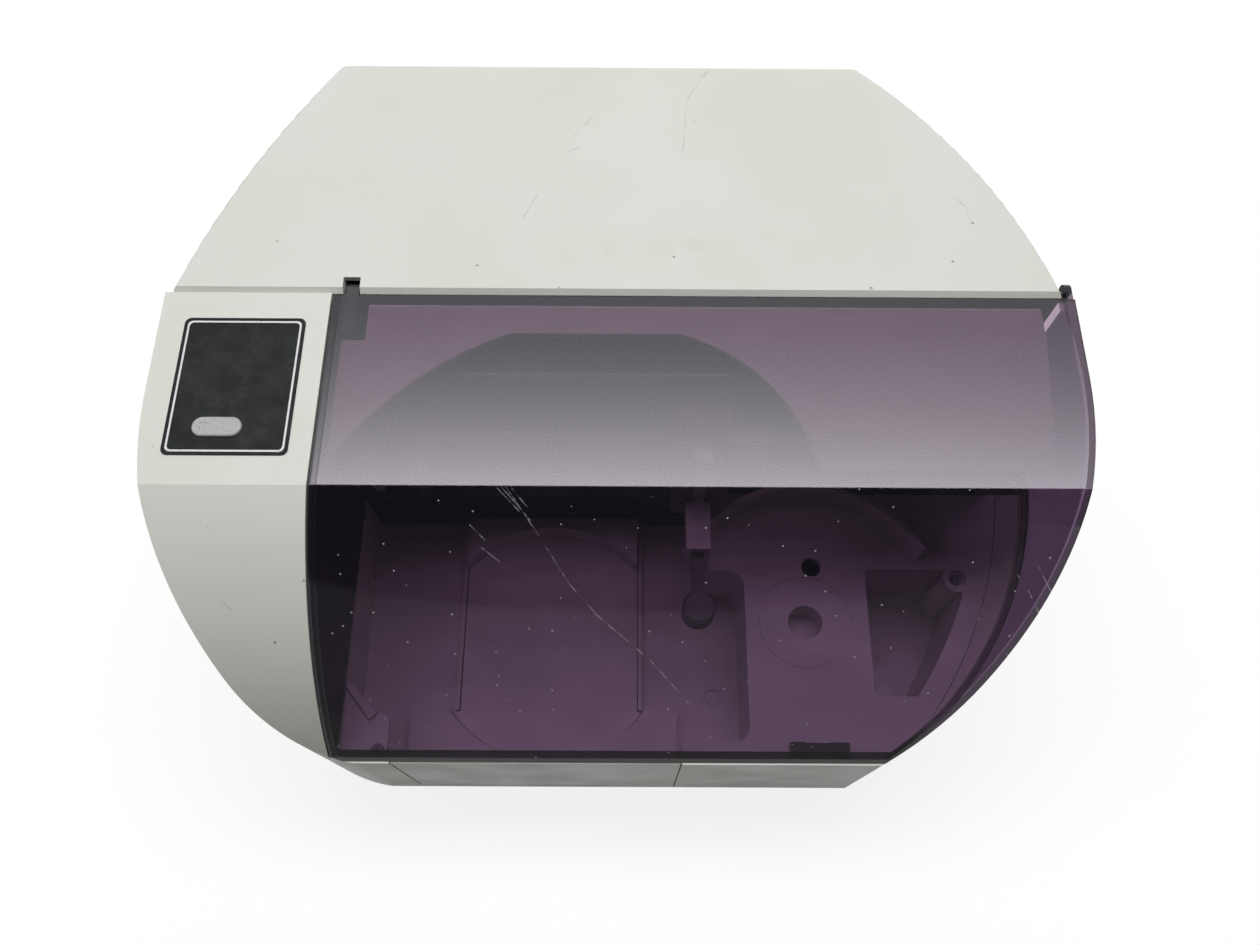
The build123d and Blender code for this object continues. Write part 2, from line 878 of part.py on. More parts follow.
with BuildPart() as bin_guide:
    with BuildSketch(Plane.XY.offset(platform_z)) as guide_arc:
        with BuildLine():
            CenterArc(
                (right_bin_x, disc_y),
                guide_radius + guide_thickness / 2,
                guide_start,
                guide_end - guide_start,
            )
            offset(amount=guide_thickness / 2, side=Side.BOTH)
        make_face()
    extrude(amount=guide_height)
save(bin_guide, "bin_guide")

drawer_bottom_z = floor_z + platform_gap
drawer_floor_z = drawer_bottom_z + drawer_thickness
drawer_flange_z = drawer_floor_z + disc_recess_depth
disc_recess_radius = disc_radius + disc_recess_gap
recess_centre = (left_bin_x, disc_y)
with BuildPart() as disc_drawer:
    block(
        (flange_left, flange_right),
        (front_y + wall, back(flange_from_front)),
        (drawer_bottom_z, drawer_flange_z),
    )
    block(
        (drawer_left, drawer_right),
        (back(flange_from_front), bin_back_y - drawer_gap),
        (drawer_bottom_z, drawer_flange_z),
    )
    with Locations((*recess_centre, (drawer_floor_z + drawer_flange_z) / 2)):
        Cone(
            disc_recess_radius,
            disc_recess_radius + disc_recess_flare,
            drawer_flange_z - drawer_floor_z,
            mode=Mode.SUBTRACT,
        )
    # Finger notch at the very front of the recess
    block(
        (left_bin_x - notch_half_width, left_bin_x + notch_half_width),
        (front_y + wall + 1.5, disc_y),
        (drawer_floor_z, drawer_flange_z + 1),
        Mode.SUBTRACT,
    )
save(disc_drawer, "disc_drawer")

drawer_front_top_z = rim_z - drawer_front_below_rim
drawer_front_round = 0.6
with BuildPart() as drawer_front:
    block(
        (flange_left, flange_right),
        (front_y, front_y + wall),
        (drawer_front_bottom_z, drawer_front_top_z),
    )
    fillet(drawer_front.edges().group_by(Axis.Y)[0], drawer_front_round)
save(drawer_front, "drawer_front")

rail_y = (back(flange_from_front) + drawer_gap, bin_back_y)
with BuildPart() as drawer_rails:
    for x in (
        (drawer_left - drawer_gap - drawer_rail_width, drawer_left - drawer_gap),
        (drawer_right + drawer_gap, drawer_right + drawer_gap + drawer_rail_width),
    ):
        block(x, rail_y, (floor_z, floor_z + drawer_rail_height))
save(drawer_rails, "drawer_rails")

gusset_width = 25.2
gusset_depth = 23.5
gusset_rib_back = 20.0
gusset_rib_width = 3.0
gusset_rib_height = 2.5
gusset_round = 4.0
gusset_right = cheek_right + gusset_width
gusset_middle_x = gusset_right - 6.0
gusset_back_y = front_y + gusset_depth
gusset_screw = (gusset_right - 4.0, front_y + 6.5)
with BuildPart() as front_gusset:
    with BuildSketch(Plane.XY.offset(platform_z - wall)) as gusset_area:
        with BuildLine():
            Polyline(
                (cheek_right, front_y),
                (gusset_right, front_y),
                (gusset_right, gusset_back_y),
                (gusset_middle_x, gusset_back_y),
                (cheek_right, gusset_back_y + gusset_rib_back),
                close=True,
            )
        make_face()
        fillet(gusset_area.vertices().group_by(Axis.X)[-1].sort_by(Axis.Y)[-1], gusset_round)
        add(full_plan(wall + platform_gap), mode=Mode.INTERSECT)
    extrude(amount=wall)
    with BuildSketch(Plane.XY.offset(platform_z)):
        with BuildLine():
            Polyline(
                (cheek_right, gusset_back_y + gusset_rib_back),
                (gusset_middle_x, gusset_back_y),
                (gusset_middle_x - gusset_rib_width, gusset_back_y - gusset_rib_width),
                (cheek_right, gusset_back_y + gusset_rib_back - gusset_rib_width),
                close=True,
            )
        make_face()
    extrude(amount=gusset_rib_height)
    z_rod(screw_hole_radius, *gusset_screw, (platform_z - wall, platform_z), Mode.SUBTRACT)
save(front_gusset, "front_gusset")

slot_length = 3.2
slot_width = 0.8
with BuildPart() as deck_screws:
    for (x, y), seat_z in ((screw_pocket, platform_z - pocket_depth), (gusset_screw, platform_z)):
        z_rod(screw_head_radius, x, y, (seat_z, seat_z + screw_head_height))
        z_rod(screw_radius, x, y, (seat_z - screw_length, seat_z))
        with BuildSketch(Plane.XY.offset(seat_z + screw_head_height / 2)):
            with Locations((x, y)):
                Rectangle(slot_length, slot_width)
                Rectangle(slot_width, slot_length)
        extrude(amount=screw_head_height, mode=Mode.SUBTRACT)
save(deck_screws, "deck_screws")

latch_width = 28.0
latch_from_bin = 11.0
latch_height = 2.5
latch_x = (right_bin_x - latch_from_bin, right_bin_x - latch_from_bin + latch_width)
latch_y = (front_y + wall + drawer_gap, cutout_front_y - drawer_gap)
lobe_y = (latch_y[0] + 2.0, latch_y[1])
latch_lobes = ((latch_x[0], latch_x[0] + 7, 5.5), (latch_x[1] - 9, latch_x[1] - 2, 4.5))
with BuildPart() as cover_latch:
    block(latch_x, latch_y, (platform_z, platform_z + latch_height))
    for left, right, lobe_height in latch_lobes:
        block((left, right), lobe_y, (platform_z, platform_z + lobe_height))
save(cover_latch, "cover_latch")

# ---------------------------------------------------------------- mechanism frame

frame_y = (back(frame_front_from_front), back(frame_back_from_front))
frame_left = cover_left + cover_thickness + frame_cover_gap
frame_right = front_half_width - frame_from_side
tray_bottom_z = chassis_top_z + tray_above_chassis
tray_top_z = tray_bottom_z + tray_thickness
carriage_top_z = deck_z - carriage_below_deck
carriage_bottom_z = tray_top_z + carriage_above_tray
front_shaft = (back(front_shaft_from_front), carriage_top_z - front_shaft_below_top)
rear_shaft = (back(rear_shaft_from_front), carriage_top_z - rear_shaft_below_top)
print_belt_z = carriage_top_z - print_belt_below_top
print_pulley_left = frame_left + pulley_from_frame
print_pulley_right = frame_right - pulley_from_frame
carriage_x = print_pulley_right - carriage_from_pulley
tray_y = disc_y + tray_travel
tray_side = tray_half_width + 2 * slide_gap
tray_left_rail = (left_bin_x - tray_side - tray_rail_width, left_bin_x - tray_side)
tray_right_rail = (left_bin_x + tray_side, left_bin_x + tray_side + tray_rail_width)
tray_rail_y = (bin_back_y + 0.5, tray_y + tray_tail + 4)
roller_y = back(tray_roller_from_front)
roller_z = tray_bottom_z - roller_gap - roller_radius
tray_motor_x = (tray_right_rail[1], tray_right_rail[1] + tray_motor_length)
chassis_y = (bin_back_y + chassis_bin_gap, back_y)

chassis_window_size = (60.0, 40.0)
chassis_windows = ((left_bin_x - 22.0, frame_y[0] + 65.0), (tray_motor_x[1] + 14.0, frame_y[1] + 12.0))
with BuildPart() as chassis_plate:
    with BuildSketch(Plane.XY.offset(chassis_z)):
        add(full_plan(wall + 1))
        area((-beyond, beyond), chassis_y)
    extrude(amount=chassis_thickness)
    block(
        (tray_motor_x[0] - 0.5, tray_motor_x[1] + 1),
        (roller_y - tray_motor_radius - 1, roller_y + tray_motor_radius + 1),
        (chassis_z - 1, chassis_top_z + 1),
        Mode.SUBTRACT,
    )
    with Locations(*[(x, y, chassis_z) for x, y in chassis_windows]):
        Box(*chassis_window_size, 4 * chassis_thickness, mode=Mode.SUBTRACT)
save(chassis_plate, "chassis_plate")

frame_window_margin = 9.0
for name, x in (
    ("left_side_frame", (frame_left, frame_left + frame_thickness)),
    ("right_side_frame", (frame_right - frame_thickness, frame_right)),
):
    with BuildPart() as side_frame:
        block(x, frame_y, (chassis_top_z, deck_z))
        block(
            (x[0] - 1, x[1] + 1),
            (front_shaft[0] + frame_window_margin, rear_shaft[0] - frame_window_margin),
            (chassis_top_z + frame_window_margin, rear_shaft[1] - frame_window_margin),
            Mode.SUBTRACT,
        )
        x_rod(front_shaft_radius, (x[0], x[1]), *front_shaft, Mode.SUBTRACT)
        x_rod(rear_shaft_radius, (x[0], x[1]), *rear_shaft, Mode.SUBTRACT)
    save(side_frame, name)

with BuildPart() as carriage_shafts:
    x_rod(front_shaft_radius, (frame_left, frame_right), *front_shaft)
    x_rod(rear_shaft_radius, (frame_left, frame_right), *rear_shaft)
save(carriage_shafts, "carriage_shafts")

beam_y = (frame_y[1] - frame_thickness, frame_y[1])
beam_x = (frame_left + frame_thickness, frame_right - frame_thickness)
beam_half_height = 16.0
motor_bore_gap = 0.2
with BuildPart() as belt_beam:
    block(beam_x, beam_y, (print_belt_z - beam_half_height, print_belt_z + beam_half_height))
    for x in (print_pulley_left, print_pulley_right):
        y_rod(shaft_radius + running_gap, x, (beam_y[0] - 1, beam_y[1] + 1), print_belt_z, Mode.SUBTRACT)
save(belt_beam, "belt_beam")

deck_cover_gap = 1.0
deck_right_inset = 13.5
deck_front_y = back(116.4)
deck_back_y = cover_back_y - deck_cover_gap
deck_narrow_y = pivot_y - arm_end_radius - arm_reach - 2 * wall
deck_left = cover_left + cover_thickness + deck_cover_gap
deck_right_front = side_x(RIGHT, deck_front_y, deck_right_inset)
deck_right_back = side_x(RIGHT, min(deck_narrow_y, widest_y[RIGHT]), deck_right_inset)
# The deck's opening: two arcs that rise to a flat edge behind
arch_flat_y = deck_front_y + 68.2
arch_middle_y = deck_front_y + 39.6
arch_front_y = deck_front_y - 2.0
arch_left = (deck_left - 2.4, deck_left + 31.6, deck_left + 78.1)
arch_right = (deck_right_front - 165.4, deck_right_front - 122.7, deck_right_front - 104.2)
deck_leg_depth = 8.0
deck_leg_width = 5.0
deck_leg_y = (bin_back_y + 2.5, bin_back_y + 2.5 + deck_leg_depth)
deck_right_leg = (deck_right_front - 1.5 - deck_leg_width, deck_right_front - 1.5)
with BuildPart() as inner_deck:
    with BuildSketch(Plane.XY.offset(deck_z)):
        with BuildLine():
            Polyline(
                (deck_left, deck_front_y),
                (deck_right_front, deck_front_y),
                (deck_right_back, deck_narrow_y),
                (deck_right_back, deck_back_y),
                (lug_inner[1] + lug_thickness + 1, deck_back_y),
                (lug_inner[1] + lug_thickness + 1, deck_narrow_y),
                (deck_left, deck_narrow_y),
                close=True,
            )
        make_face()
        with BuildSketch(mode=Mode.SUBTRACT):
            with BuildLine():
                ThreePointArc(
                    (arch_left[0], arch_front_y), (arch_left[1], arch_middle_y), (arch_left[2], arch_flat_y)
                )
                Line((arch_left[2], arch_flat_y), (arch_right[0], arch_flat_y))
                ThreePointArc(
                    (arch_right[0], arch_flat_y), (arch_right[1], arch_middle_y), (arch_right[2], arch_front_y)
                )
                Line((arch_right[2], arch_front_y), (arch_left[0], arch_front_y))
            make_face()
    extrude(amount=deck_thickness)
    for x in ((deck_left + 1, deck_left + 1 + deck_leg_width), deck_right_leg):
        block(x, deck_leg_y, (chassis_top_z, deck_z))
save(inner_deck, "inner_deck")

# ---------------------------------------------------------------- print tray

roller_bracket_gap = 8.0
roller_bracket_end = left_bin_x - tray_roller_half_length - roller_bracket_gap
roller_bracket_x = (roller_bracket_end - 2 * frame_thickness, roller_bracket_end)
with BuildPart() as tray_rails:
    for rail, inward in ((tray_left_rail, 1), (tray_right_rail, -1)):
        edge = rail[1] if inward > 0 else rail[0]
        lip = sorted((edge, edge + inward * (tray_lip + 2 * slide_gap)))
        top_z = tray_top_z + 2 * slide_gap
        block(rail, tray_rail_y, (chassis_top_z, top_z + tray_lip_thickness))
        block(lip, tray_rail_y, (top_z, top_z + tray_lip_thickness))
        block(lip, tray_rail_y, (chassis_top_z, tray_bottom_z - 2 * slide_gap))
    block(
        roller_bracket_x,
        (roller_y - 2 * shaft_radius, roller_y + 2 * shaft_radius),
        (chassis_top_z, roller_z + 2 * shaft_radius),
    )
    x_rod(
        shaft_radius + running_gap,
        (roller_bracket_x[0] - 1, tray_right_rail[1] + 1),
        roller_y,
        roller_z,
        Mode.SUBTRACT,
    )
save(tray_rails, "tray_rails")

tray_recess_z = tray_top_z - tray_recess_depth
with BuildPart() as print_tray:
    with BuildSketch(Plane.XY.offset(tray_bottom_z)):
        with Locations((left_bin_x, tray_y)):
            Circle(tray_half_width)
        area(
            (left_bin_x - tray_half_width, left_bin_x + tray_half_width),
            (tray_y, tray_y + tray_tail),
            Mode.ADD,
        )
        area((-beyond, beyond), (tray_y - tray_nose, beyond))
    extrude(amount=tray_thickness)
    z_rod(disc_radius + tray_recess_gap, left_bin_x, tray_y, (tray_recess_z, tray_top_z), Mode.SUBTRACT)
    z_rod(tray_hub_radius, left_bin_x, tray_y, (tray_recess_z, tray_recess_z + tray_recess_depth - 0.5))
    # Notch in the nose, where the gripper reaches the disc's hub
    block(
        (left_bin_x - tray_notch_half_width, left_bin_x + tray_notch_half_width),
        (tray_y - tray_nose - 1, tray_y - tray_nose + tray_notch_depth),
        (tray_bottom_z - 1, tray_top_z + 1),
        Mode.SUBTRACT,
    )
save(print_tray, "print_tray")

tray_roller_x = (left_bin_x - tray_roller_half_length, left_bin_x + tray_roller_half_length)
motor_bore_depth = 6.0
shaft_end_gap = 1.0
with BuildPart() as tray_roller:
    x_rod(roller_radius, tray_roller_x, roller_y, roller_z)
    x_rod(
        shaft_radius,
        (roller_bracket_x[0], tray_motor_x[0] + motor_bore_depth - shaft_end_gap),
        roller_y,
        roller_z,
    )
save(tray_roller, "tray_roller")

with BuildPart() as tray_motor:
    x_rod(tray_motor_radius, tray_motor_x, roller_y, roller_z)
    x_rod(
        shaft_radius + motor_bore_gap,
        (tray_motor_x[0], tray_motor_x[0] + motor_bore_depth),
        roller_y,
        roller_z,
        Mode.SUBTRACT,
    )
save(tray_motor, "tray_motor")

# ---------------------------------------------------------------- picker

picker_bottom_z = platform_z + picker_above_platform
picker_top_z = deck_z - picker_below_deck
upper_rod_z = picker_top_z - upper_rod_below_top
lower_rod_z = picker_bottom_z + lower_rod_above_bottom
picker_belt_z = picker_top_z - picker_belt_below_top
lift_roller_z = picker_top_z - lift_roller_below_top
arm_bottom_z = picker_bottom_z + arm_above_picker_bottom
rod_left = left_bin_x - left_rod_reach
rod_right = right_bin_x + right_rod_reach
picker_pulley_left = rod_left + pulley_from_bracket
picker_pulley_right = rod_right - pulley_from_bracket
rod_y = back(picker_rod_from_front)
belt_y = back(picker_belt_from_front)
bracket_front_gap = 4.0
bracket_flange = 12.0
tab_half_height = 14.0
bracket_y = (rod_y - bracket_front_gap, belt_y + pulley_width / 2 + bracket_front_gap - 0.5)
left_bracket_x = (rod_left - frame_thickness, rod_left)
right_bracket_x = (rod_right, rod_right + frame_thickness)
tab_z = (picker_belt_z - tab_half_height, picker_belt_z + tab_half_height)
tab_y = (bracket_y[1] - frame_thickness, bracket_y[1])
motor_tab_back = belt_y - pulley_width / 2 - 1.0
motor_tab_y = (motor_tab_back - chassis_thickness, motor_tab_back)

left_tab_end = picker_pulley_left + pulley_from_bracket
right_tab_end = picker_pulley_right - pulley_from_bracket

with BuildPart() as picker_brackets:
    for plate, flange, tab in (
        (left_bracket_x, (rod_left - bracket_flange, rod_left), (rod_left, left_tab_end)),
        (right_bracket_x, (rod_right, rod_right + bracket_flange), (right_tab_end, rod_right)),
    ):
        block(plate, bracket_y, (chassis_top_z, picker_top_z - bracket_front_gap))
        block(flange, bracket_y, (chassis_top_z, chassis_top_z + frame_thickness))
        block(tab, tab_y, tab_z)
    block((rod_left, left_tab_end), motor_tab_y, tab_z)
    for x in (picker_pulley_left, picker_pulley_right):
        bearing_y = (motor_tab_y[0] - 1, tab_y[1] + 1)
        y_rod(shaft_radius + running_gap, x, bearing_y, picker_belt_z, Mode.SUBTRACT)
save(picker_brackets, "picker_brackets")

with BuildPart() as picker_rods:
    x_rod(upper_rod_radius, (rod_left, rod_right), rod_y, upper_rod_z)
    x_rod(lower_rod_radius, (rod_left, rod_right), rod_y, lower_rod_z)
save(picker_rods, "picker_rods")

bar_y = (back(bar_from_front), back(bar_from_front) + bar_depth)
mast_y = (back(picker_front_from_front), back(picker_back_from_front))
lift_roller_y = bar_y[1] + roller_gap + roller_radius
neck_half_width = arm_strip_width / 4
clamp_bottom = 3.0
clamp_z = (picker_belt_z + clamp_bottom, picker_belt_z + clamp_bottom + clamp_height)
mast_chamfer = 1.5
roller_pocket_gap = 0.5
belt_run_z = (
    picker_belt_z + pulley_radius + belt_gap,
    picker_belt_z + pulley_radius + belt_gap + belt_thickness,
)
belt_run_y = (belt_y - belt_width / 2, belt_y + belt_width / 2)

with BuildPart() as picker_carriage:
    block(
        (picker_x - picker_half_width, picker_x + picker_half_width),
        mast_y,
        (picker_bottom_z, picker_top_z),
    )
    chamfer(picker_carriage.edges().filter_by(Axis.Z), mast_chamfer)
    block(
        (picker_x - clamp_half_width, picker_x + clamp_half_width),
        (mast_y[1], belt_run_y[1] + 1.5),
        clamp_z,
    )
    # Channel for the lift bar, with a narrower slot in front for the arm's neck
    block(
        (picker_x - bar_width / 2 - slide_gap, picker_x + bar_width / 2 + slide_gap),
        (bar_y[0] - slide_gap, bar_y[1] + slide_gap),
        (picker_bottom_z - 1, picker_top_z + 1),
        Mode.SUBTRACT,
    )
    block(
        (picker_x - neck_half_width - 2 * slide_gap, picker_x + neck_half_width + 2 * slide_gap),
        (mast_y[0] - 1, bar_y[0]),
        (picker_bottom_z - 1, picker_top_z + 1),
        Mode.SUBTRACT,
    )
    for radius, z in ((upper_rod_radius, upper_rod_z), (lower_rod_radius, lower_rod_z)):
        x_rod(
            radius + running_gap,
            (picker_x - picker_half_width, picker_x + picker_half_width),
            rod_y,
            z,
            Mode.SUBTRACT,
        )
    # Pocket for the lift roller, and its shaft's bearing
    x_rod(
        roller_radius + roller_pocket_gap,
        (picker_x - lift_roller_half_length - 1, picker_x + lift_roller_half_length + 1),
        lift_roller_y,
        lift_roller_z,
        Mode.SUBTRACT,
    )
    x_rod(
        shaft_radius + running_gap,
        (picker_x - picker_half_width, picker_x + picker_half_width),
        lift_roller_y,
        lift_roller_z,
        Mode.SUBTRACT,
    )
    block(
        (picker_x - clamp_half_width, picker_x + clamp_half_width),
        (belt_run_y[0] - clamp_gap, belt_run_y[1] + clamp_gap),
        (belt_run_z[0] - clamp_gap, belt_run_z[1] + clamp_gap),
        Mode.SUBTRACT,
    )
save(picker_carriage, "picker_carriage")

lift_roller_x = (picker_x - lift_roller_half_length, picker_x + lift_roller_half_length)
lift_motor_x = (picker_x + picker_half_width, picker_x + picker_half_width + lift_motor_length)
lift_shaft_x = (picker_x - picker_half_width, lift_motor_x[0] + motor_bore_depth - shaft_end_gap)
with BuildPart() as lift_roller:
    x_rod(roller_radius, lift_roller_x, lift_roller_y, lift_roller_z)
    x_rod(shaft_radius, lift_shaft_x, lift_roller_y, lift_roller_z)
save(lift_roller, "lift_roller")

with BuildPart() as lift_motor:
    x_rod(lift_motor_radius, lift_motor_x, lift_roller_y, lift_roller_z)
    x_rod(
        shaft_radius + motor_bore_gap,
        (lift_motor_x[0], lift_motor_x[0] + motor_bore_depth),
        lift_roller_y,
        lift_roller_z,
        Mode.SUBTRACT,
    )
save(lift_motor, "lift_motor")

arm_top_z = arm_bottom_z + arm_strip_height
strip_x = (picker_x - arm_strip_width / 2, picker_x + arm_strip_width / 2)
strip_front_y = back(arm_strip_front)
strip_mark_depth = 0.6
strip_dimple_radius = 3.4
strip_dimple_behind = 14.0
with BuildPart() as picker_arm:
    block((picker_x - bar_width / 2, picker_x + bar_width / 2), bar_y, (arm_bottom_z, picker_top_z))
    block(
        (picker_x - neck_half_width, picker_x + neck_half_width),
        (mast_y[0] - 2 * slide_gap, bar_y[0]),
        (arm_bottom_z, arm_top_z),
    )
    block(strip_x, (strip_front_y, mast_y[0] - 2 * slide_gap), (arm_bottom_z, arm_top_z))
    # A round dimple and a short groove in the strip's top
    z_rod(
        strip_dimple_radius,
        picker_x,
        strip_front_y + strip_dimple_behind,
        (arm_top_z - strip_mark_depth, arm_top_z),
        Mode.SUBTRACT,
    )
    block(
        (picker_x - 2 * strip_mark_depth, picker_x + 2 * strip_mark_depth),
        (strip_front_y + 1.5, strip_front_y + 9),
        (arm_top_z - strip_mark_depth, arm_top_z),
        Mode.SUBTRACT,
    )
save(picker_arm, "picker_arm")

gripper_top_z = arm_bottom_z + gripper_depth
gripper_bottom_z = arm_bottom_z - gripper_depth
gripper_neck_half_width = 3.0
gripper_chamfer = 1.0
finger_top_z = gripper_bottom_z - 2 * slide_gap
finger_z = (finger_top_z - finger_length, finger_top_z)
with BuildPart() as gripper_head:
    z_rod(gripper_radius, picker_x, disc_y, (gripper_bottom_z, gripper_top_z))
    block(
        (picker_x - gripper_neck_half_width, picker_x + gripper_neck_half_width),
        (disc_y, strip_front_y),
        (arm_bottom_z, gripper_top_z),
    )
    top_rim = gripper_head.edges().filter_by(GeomType.CIRCLE).group_by(Axis.Z)[-1]
    chamfer(top_rim, gripper_chamfer)
save(gripper_head, "gripper_head")

finger_angles = (90.0, 210.0, 330.0)
for number, angle in enumerate(finger_angles, start=1):
    with BuildPart() as grip_finger:
        with BuildSketch(Plane.XY.offset(finger_z[0])) as sector:
            with Locations((picker_x, disc_y)):
                Circle(finger_radius)
                Circle(finger_radius / 2, mode=Mode.SUBTRACT)
            with Locations(Location((picker_x, disc_y), angle)):
                with Locations((finger_radius, 0)):
                    Rectangle(2 * finger_radius, finger_width, mode=Mode.INTERSECT)
        extrude(amount=finger_z[1] - finger_z[0])
    save(grip_finger, f"grip_finger_{number}")


def pulley(x, y, z, shaft):
    """A flanged belt pulley on its own shaft, turning about Y."""
    with BuildPart() as wheel:
        y_rod(pulley_radius, x, (y - pulley_width / 2, y + pulley_width / 2), z)
        y_rod(shaft_radius, x, shaft, z)
    return wheel


def belt(x, y, z):
    """A flat belt round two equal pulleys at x[0] and x[1]."""
    inner = pulley_radius + belt_gap
    with BuildPart() as loop:
        with BuildSketch(Plane.XZ.offset(-y - belt_width / 2)):
            with Locations(((x[0] + x[1]) / 2, z)):
                SlotCenterToCenter(x[1] - x[0], 2 * (inner + belt_thickness))
                SlotCenterToCenter(x[1] - x[0], 2 * inner, mode=Mode.SUBTRACT)
        extrude(amount=belt_width)
    return loop


picker_motor_y = (motor_tab_y[0] - picker_motor_length, motor_tab_y[0])
picker_drive_shaft = (picker_motor_y[1] - motor_bore_depth + shaft_end_gap, tab_y[1])
picker_idler_shaft = (belt_y - pulley_width / 2 - 1, tab_y[1])
picker_drive = pulley(picker_pulley_left, belt_y, picker_belt_z, picker_drive_shaft)
save(picker_drive, "picker_drive_pulley")
picker_idler = pulley(picker_pulley_right, belt_y, picker_belt_z, picker_idler_shaft)
save(picker_idler, "picker_idler_pulley")
save(belt((picker_pulley_left, picker_pulley_right), belt_y, picker_belt_z), "picker_belt")

with BuildPart() as picker_motor:
    y_rod(picker_motor_radius, picker_pulley_left, picker_motor_y, picker_belt_z)
    y_rod(
        shaft_radius + motor_bore_gap,
        picker_pulley_left,
        (picker_motor_y[1] - motor_bore_depth, picker_motor_y[1]),
        picker_belt_z,
        Mode.SUBTRACT,
    )
save(picker_motor, "picker_motor")

# ---------------------------------------------------------------- print carriage

print_belt_y = back(print_belt_from_front)
print_run_z = (
    print_belt_z + pulley_radius + belt_gap,
    print_belt_z + pulley_radius + belt_gap + belt_thickness,
)
print_run_y = (print_belt_y - belt_width / 2, print_belt_y + belt_width / 2)
carriage_y = (back(carriage_front_from_front), back(carriage_back_from_front))
pocket_half_width = cartridge_width / 2 + cartridge_gap
pocket_x = (carriage_x - pocket_half_width, carriage_x + pocket_half_width)
pocket_y = (
    back(cartridge_from_front) - cartridge_gap,
    back(cartridge_from_front) + cartridge_length + cartridge_gap,
)
pocket_floor_z = carriage_bottom_z + 4
nozzle_inset = 6.0
print_clamp_z = (print_belt_z + clamp_bottom, print_belt_z + clamp_bottom + clamp_height)
carriage_chamfer = 2.0
cartridge_round = 3.0

with BuildPart() as print_carriage:
    block(
        (carriage_x - carriage_half_width, carriage_x + carriage_half_width),
        carriage_y,
        (carriage_bottom_z, carriage_top_z),
    )
    chamfer(print_carriage.edges().filter_by(Axis.Z), carriage_chamfer)
    block(pocket_x, pocket_y, (pocket_floor_z, carriage_top_z + 1), Mode.SUBTRACT)
    block(
        (carriage_x - nozzle_half_width - 1, carriage_x + nozzle_half_width + 1),
        (pocket_y[0] + nozzle_inset - 1, pocket_y[1] - nozzle_inset + 1),
        (carriage_bottom_z - 1, pocket_floor_z + 1),
        Mode.SUBTRACT,
    )
    block(
        (carriage_x - clamp_half_width, carriage_x + clamp_half_width),
        (carriage_y[1], print_run_y[1] + 1.2),
        print_clamp_z,
    )
    block(
        (carriage_x - clamp_half_width, carriage_x + clamp_half_width),
        (print_run_y[0] - clamp_gap, print_run_y[1] + clamp_gap),
        (print_run_z[0] - clamp_gap, print_run_z[1] + clamp_gap),
        Mode.SUBTRACT,
    )
    for radius, (y, z) in ((front_shaft_radius, front_shaft), (rear_shaft_radius, rear_shaft)):
        x_rod(
            radius + running_gap,
            (carriage_x - carriage_half_width, carriage_x + carriage_half_width),
            y,
            z,
            Mode.SUBTRACT,
        )
save(print_carriage, "print_carriage")

with BuildPart() as ink_cartridge:
    block(
        (pocket_x[0] + cartridge_gap, pocket_x[1] - cartridge_gap),
        (pocket_y[0] + cartridge_gap, pocket_y[1] - cartridge_gap),
        (pocket_floor_z, carriage_top_z + cartridge_proud),
    )
    fillet(ink_cartridge.edges().filter_by(Axis.Z), cartridge_round)
    block(
        (carriage_x - nozzle_half_width, carriage_x + nozzle_half_width),
        (pocket_y[0] + nozzle_inset, pocket_y[1] - nozzle_inset),
        (carriage_bottom_z - 0.5, pocket_floor_z),
    )
save(ink_cartridge, "ink_cartridge")

print_drive_shaft = (print_run_y[0] - 1, beam_y[1] + motor_bore_depth - shaft_end_gap)
print_drive = pulley(print_pulley_left, print_belt_y, print_belt_z, print_drive_shaft)
save(print_drive, "print_drive_pulley")
print_idler = pulley(
    print_pulley_right, print_belt_y, print_belt_z, (print_run_y[0] - 1, beam_y[1])
)
save(print_idler, "print_idler_pulley")
save(belt((print_pulley_left, print_pulley_right), print_belt_y, print_belt_z), "print_belt")

with BuildPart() as print_motor:
    y_rod(
        print_motor_radius, print_pulley_left, (beam_y[1], beam_y[1] + print_motor_length), print_belt_z
    )
    y_rod(
        shaft_radius + motor_bore_gap,
        print_pulley_left,
        (beam_y[1], beam_y[1] + motor_bore_depth),
        print_belt_z,
        Mode.SUBTRACT,
    )
save(print_motor, "print_motor")

pad_gap = 1.0
pad_height = 1.5
pad_inset = 4.0
pad_round = 2.0
station_chamfer = 1.5
station_top_z = carriage_bottom_z - pad_gap - pad_height
with BuildPart() as service_station:
    block(
        (carriage_x - station_half_width, carriage_x + station_half_width),
        (back(station_from_front), back(station_from_front) + station_length),
        (chassis_top_z, station_top_z),
    )
    chamfer(service_station.edges().group_by(Axis.Z)[-1], station_chamfer)
save(service_station, "service_station")

with BuildPart() as capping_pad:
    block(
        (carriage_x - pad_half_width, carriage_x + pad_half_width),
        (pocket_y[0] + pad_inset, pocket_y[1] - pad_inset),
        (station_top_z, station_top_z + pad_height),
    )
    fillet(capping_pad.edges().filter_by(Axis.Z), pad_round)
save(capping_pad, "capping_pad")

# ---------------------------------------------------------------- electronics

board_x = (board_left, board_right)
board_y = (back_y - board_from_back - board_length, back_y - board_from_back)
with BuildPart() as controller_board:
    block(board_x, board_y, (board_z, board_z + board_thickness))
    for x in (board_x[0] + board_post_from_edge, board_x[1] - board_post_from_edge):
        for y in (board_y[0] + board_post_from_edge, board_y[1] - board_post_from_edge):
            z_rod(board_post_radius, x, y, (pan_top_z, board_z))
save(controller_board, "controller_board")

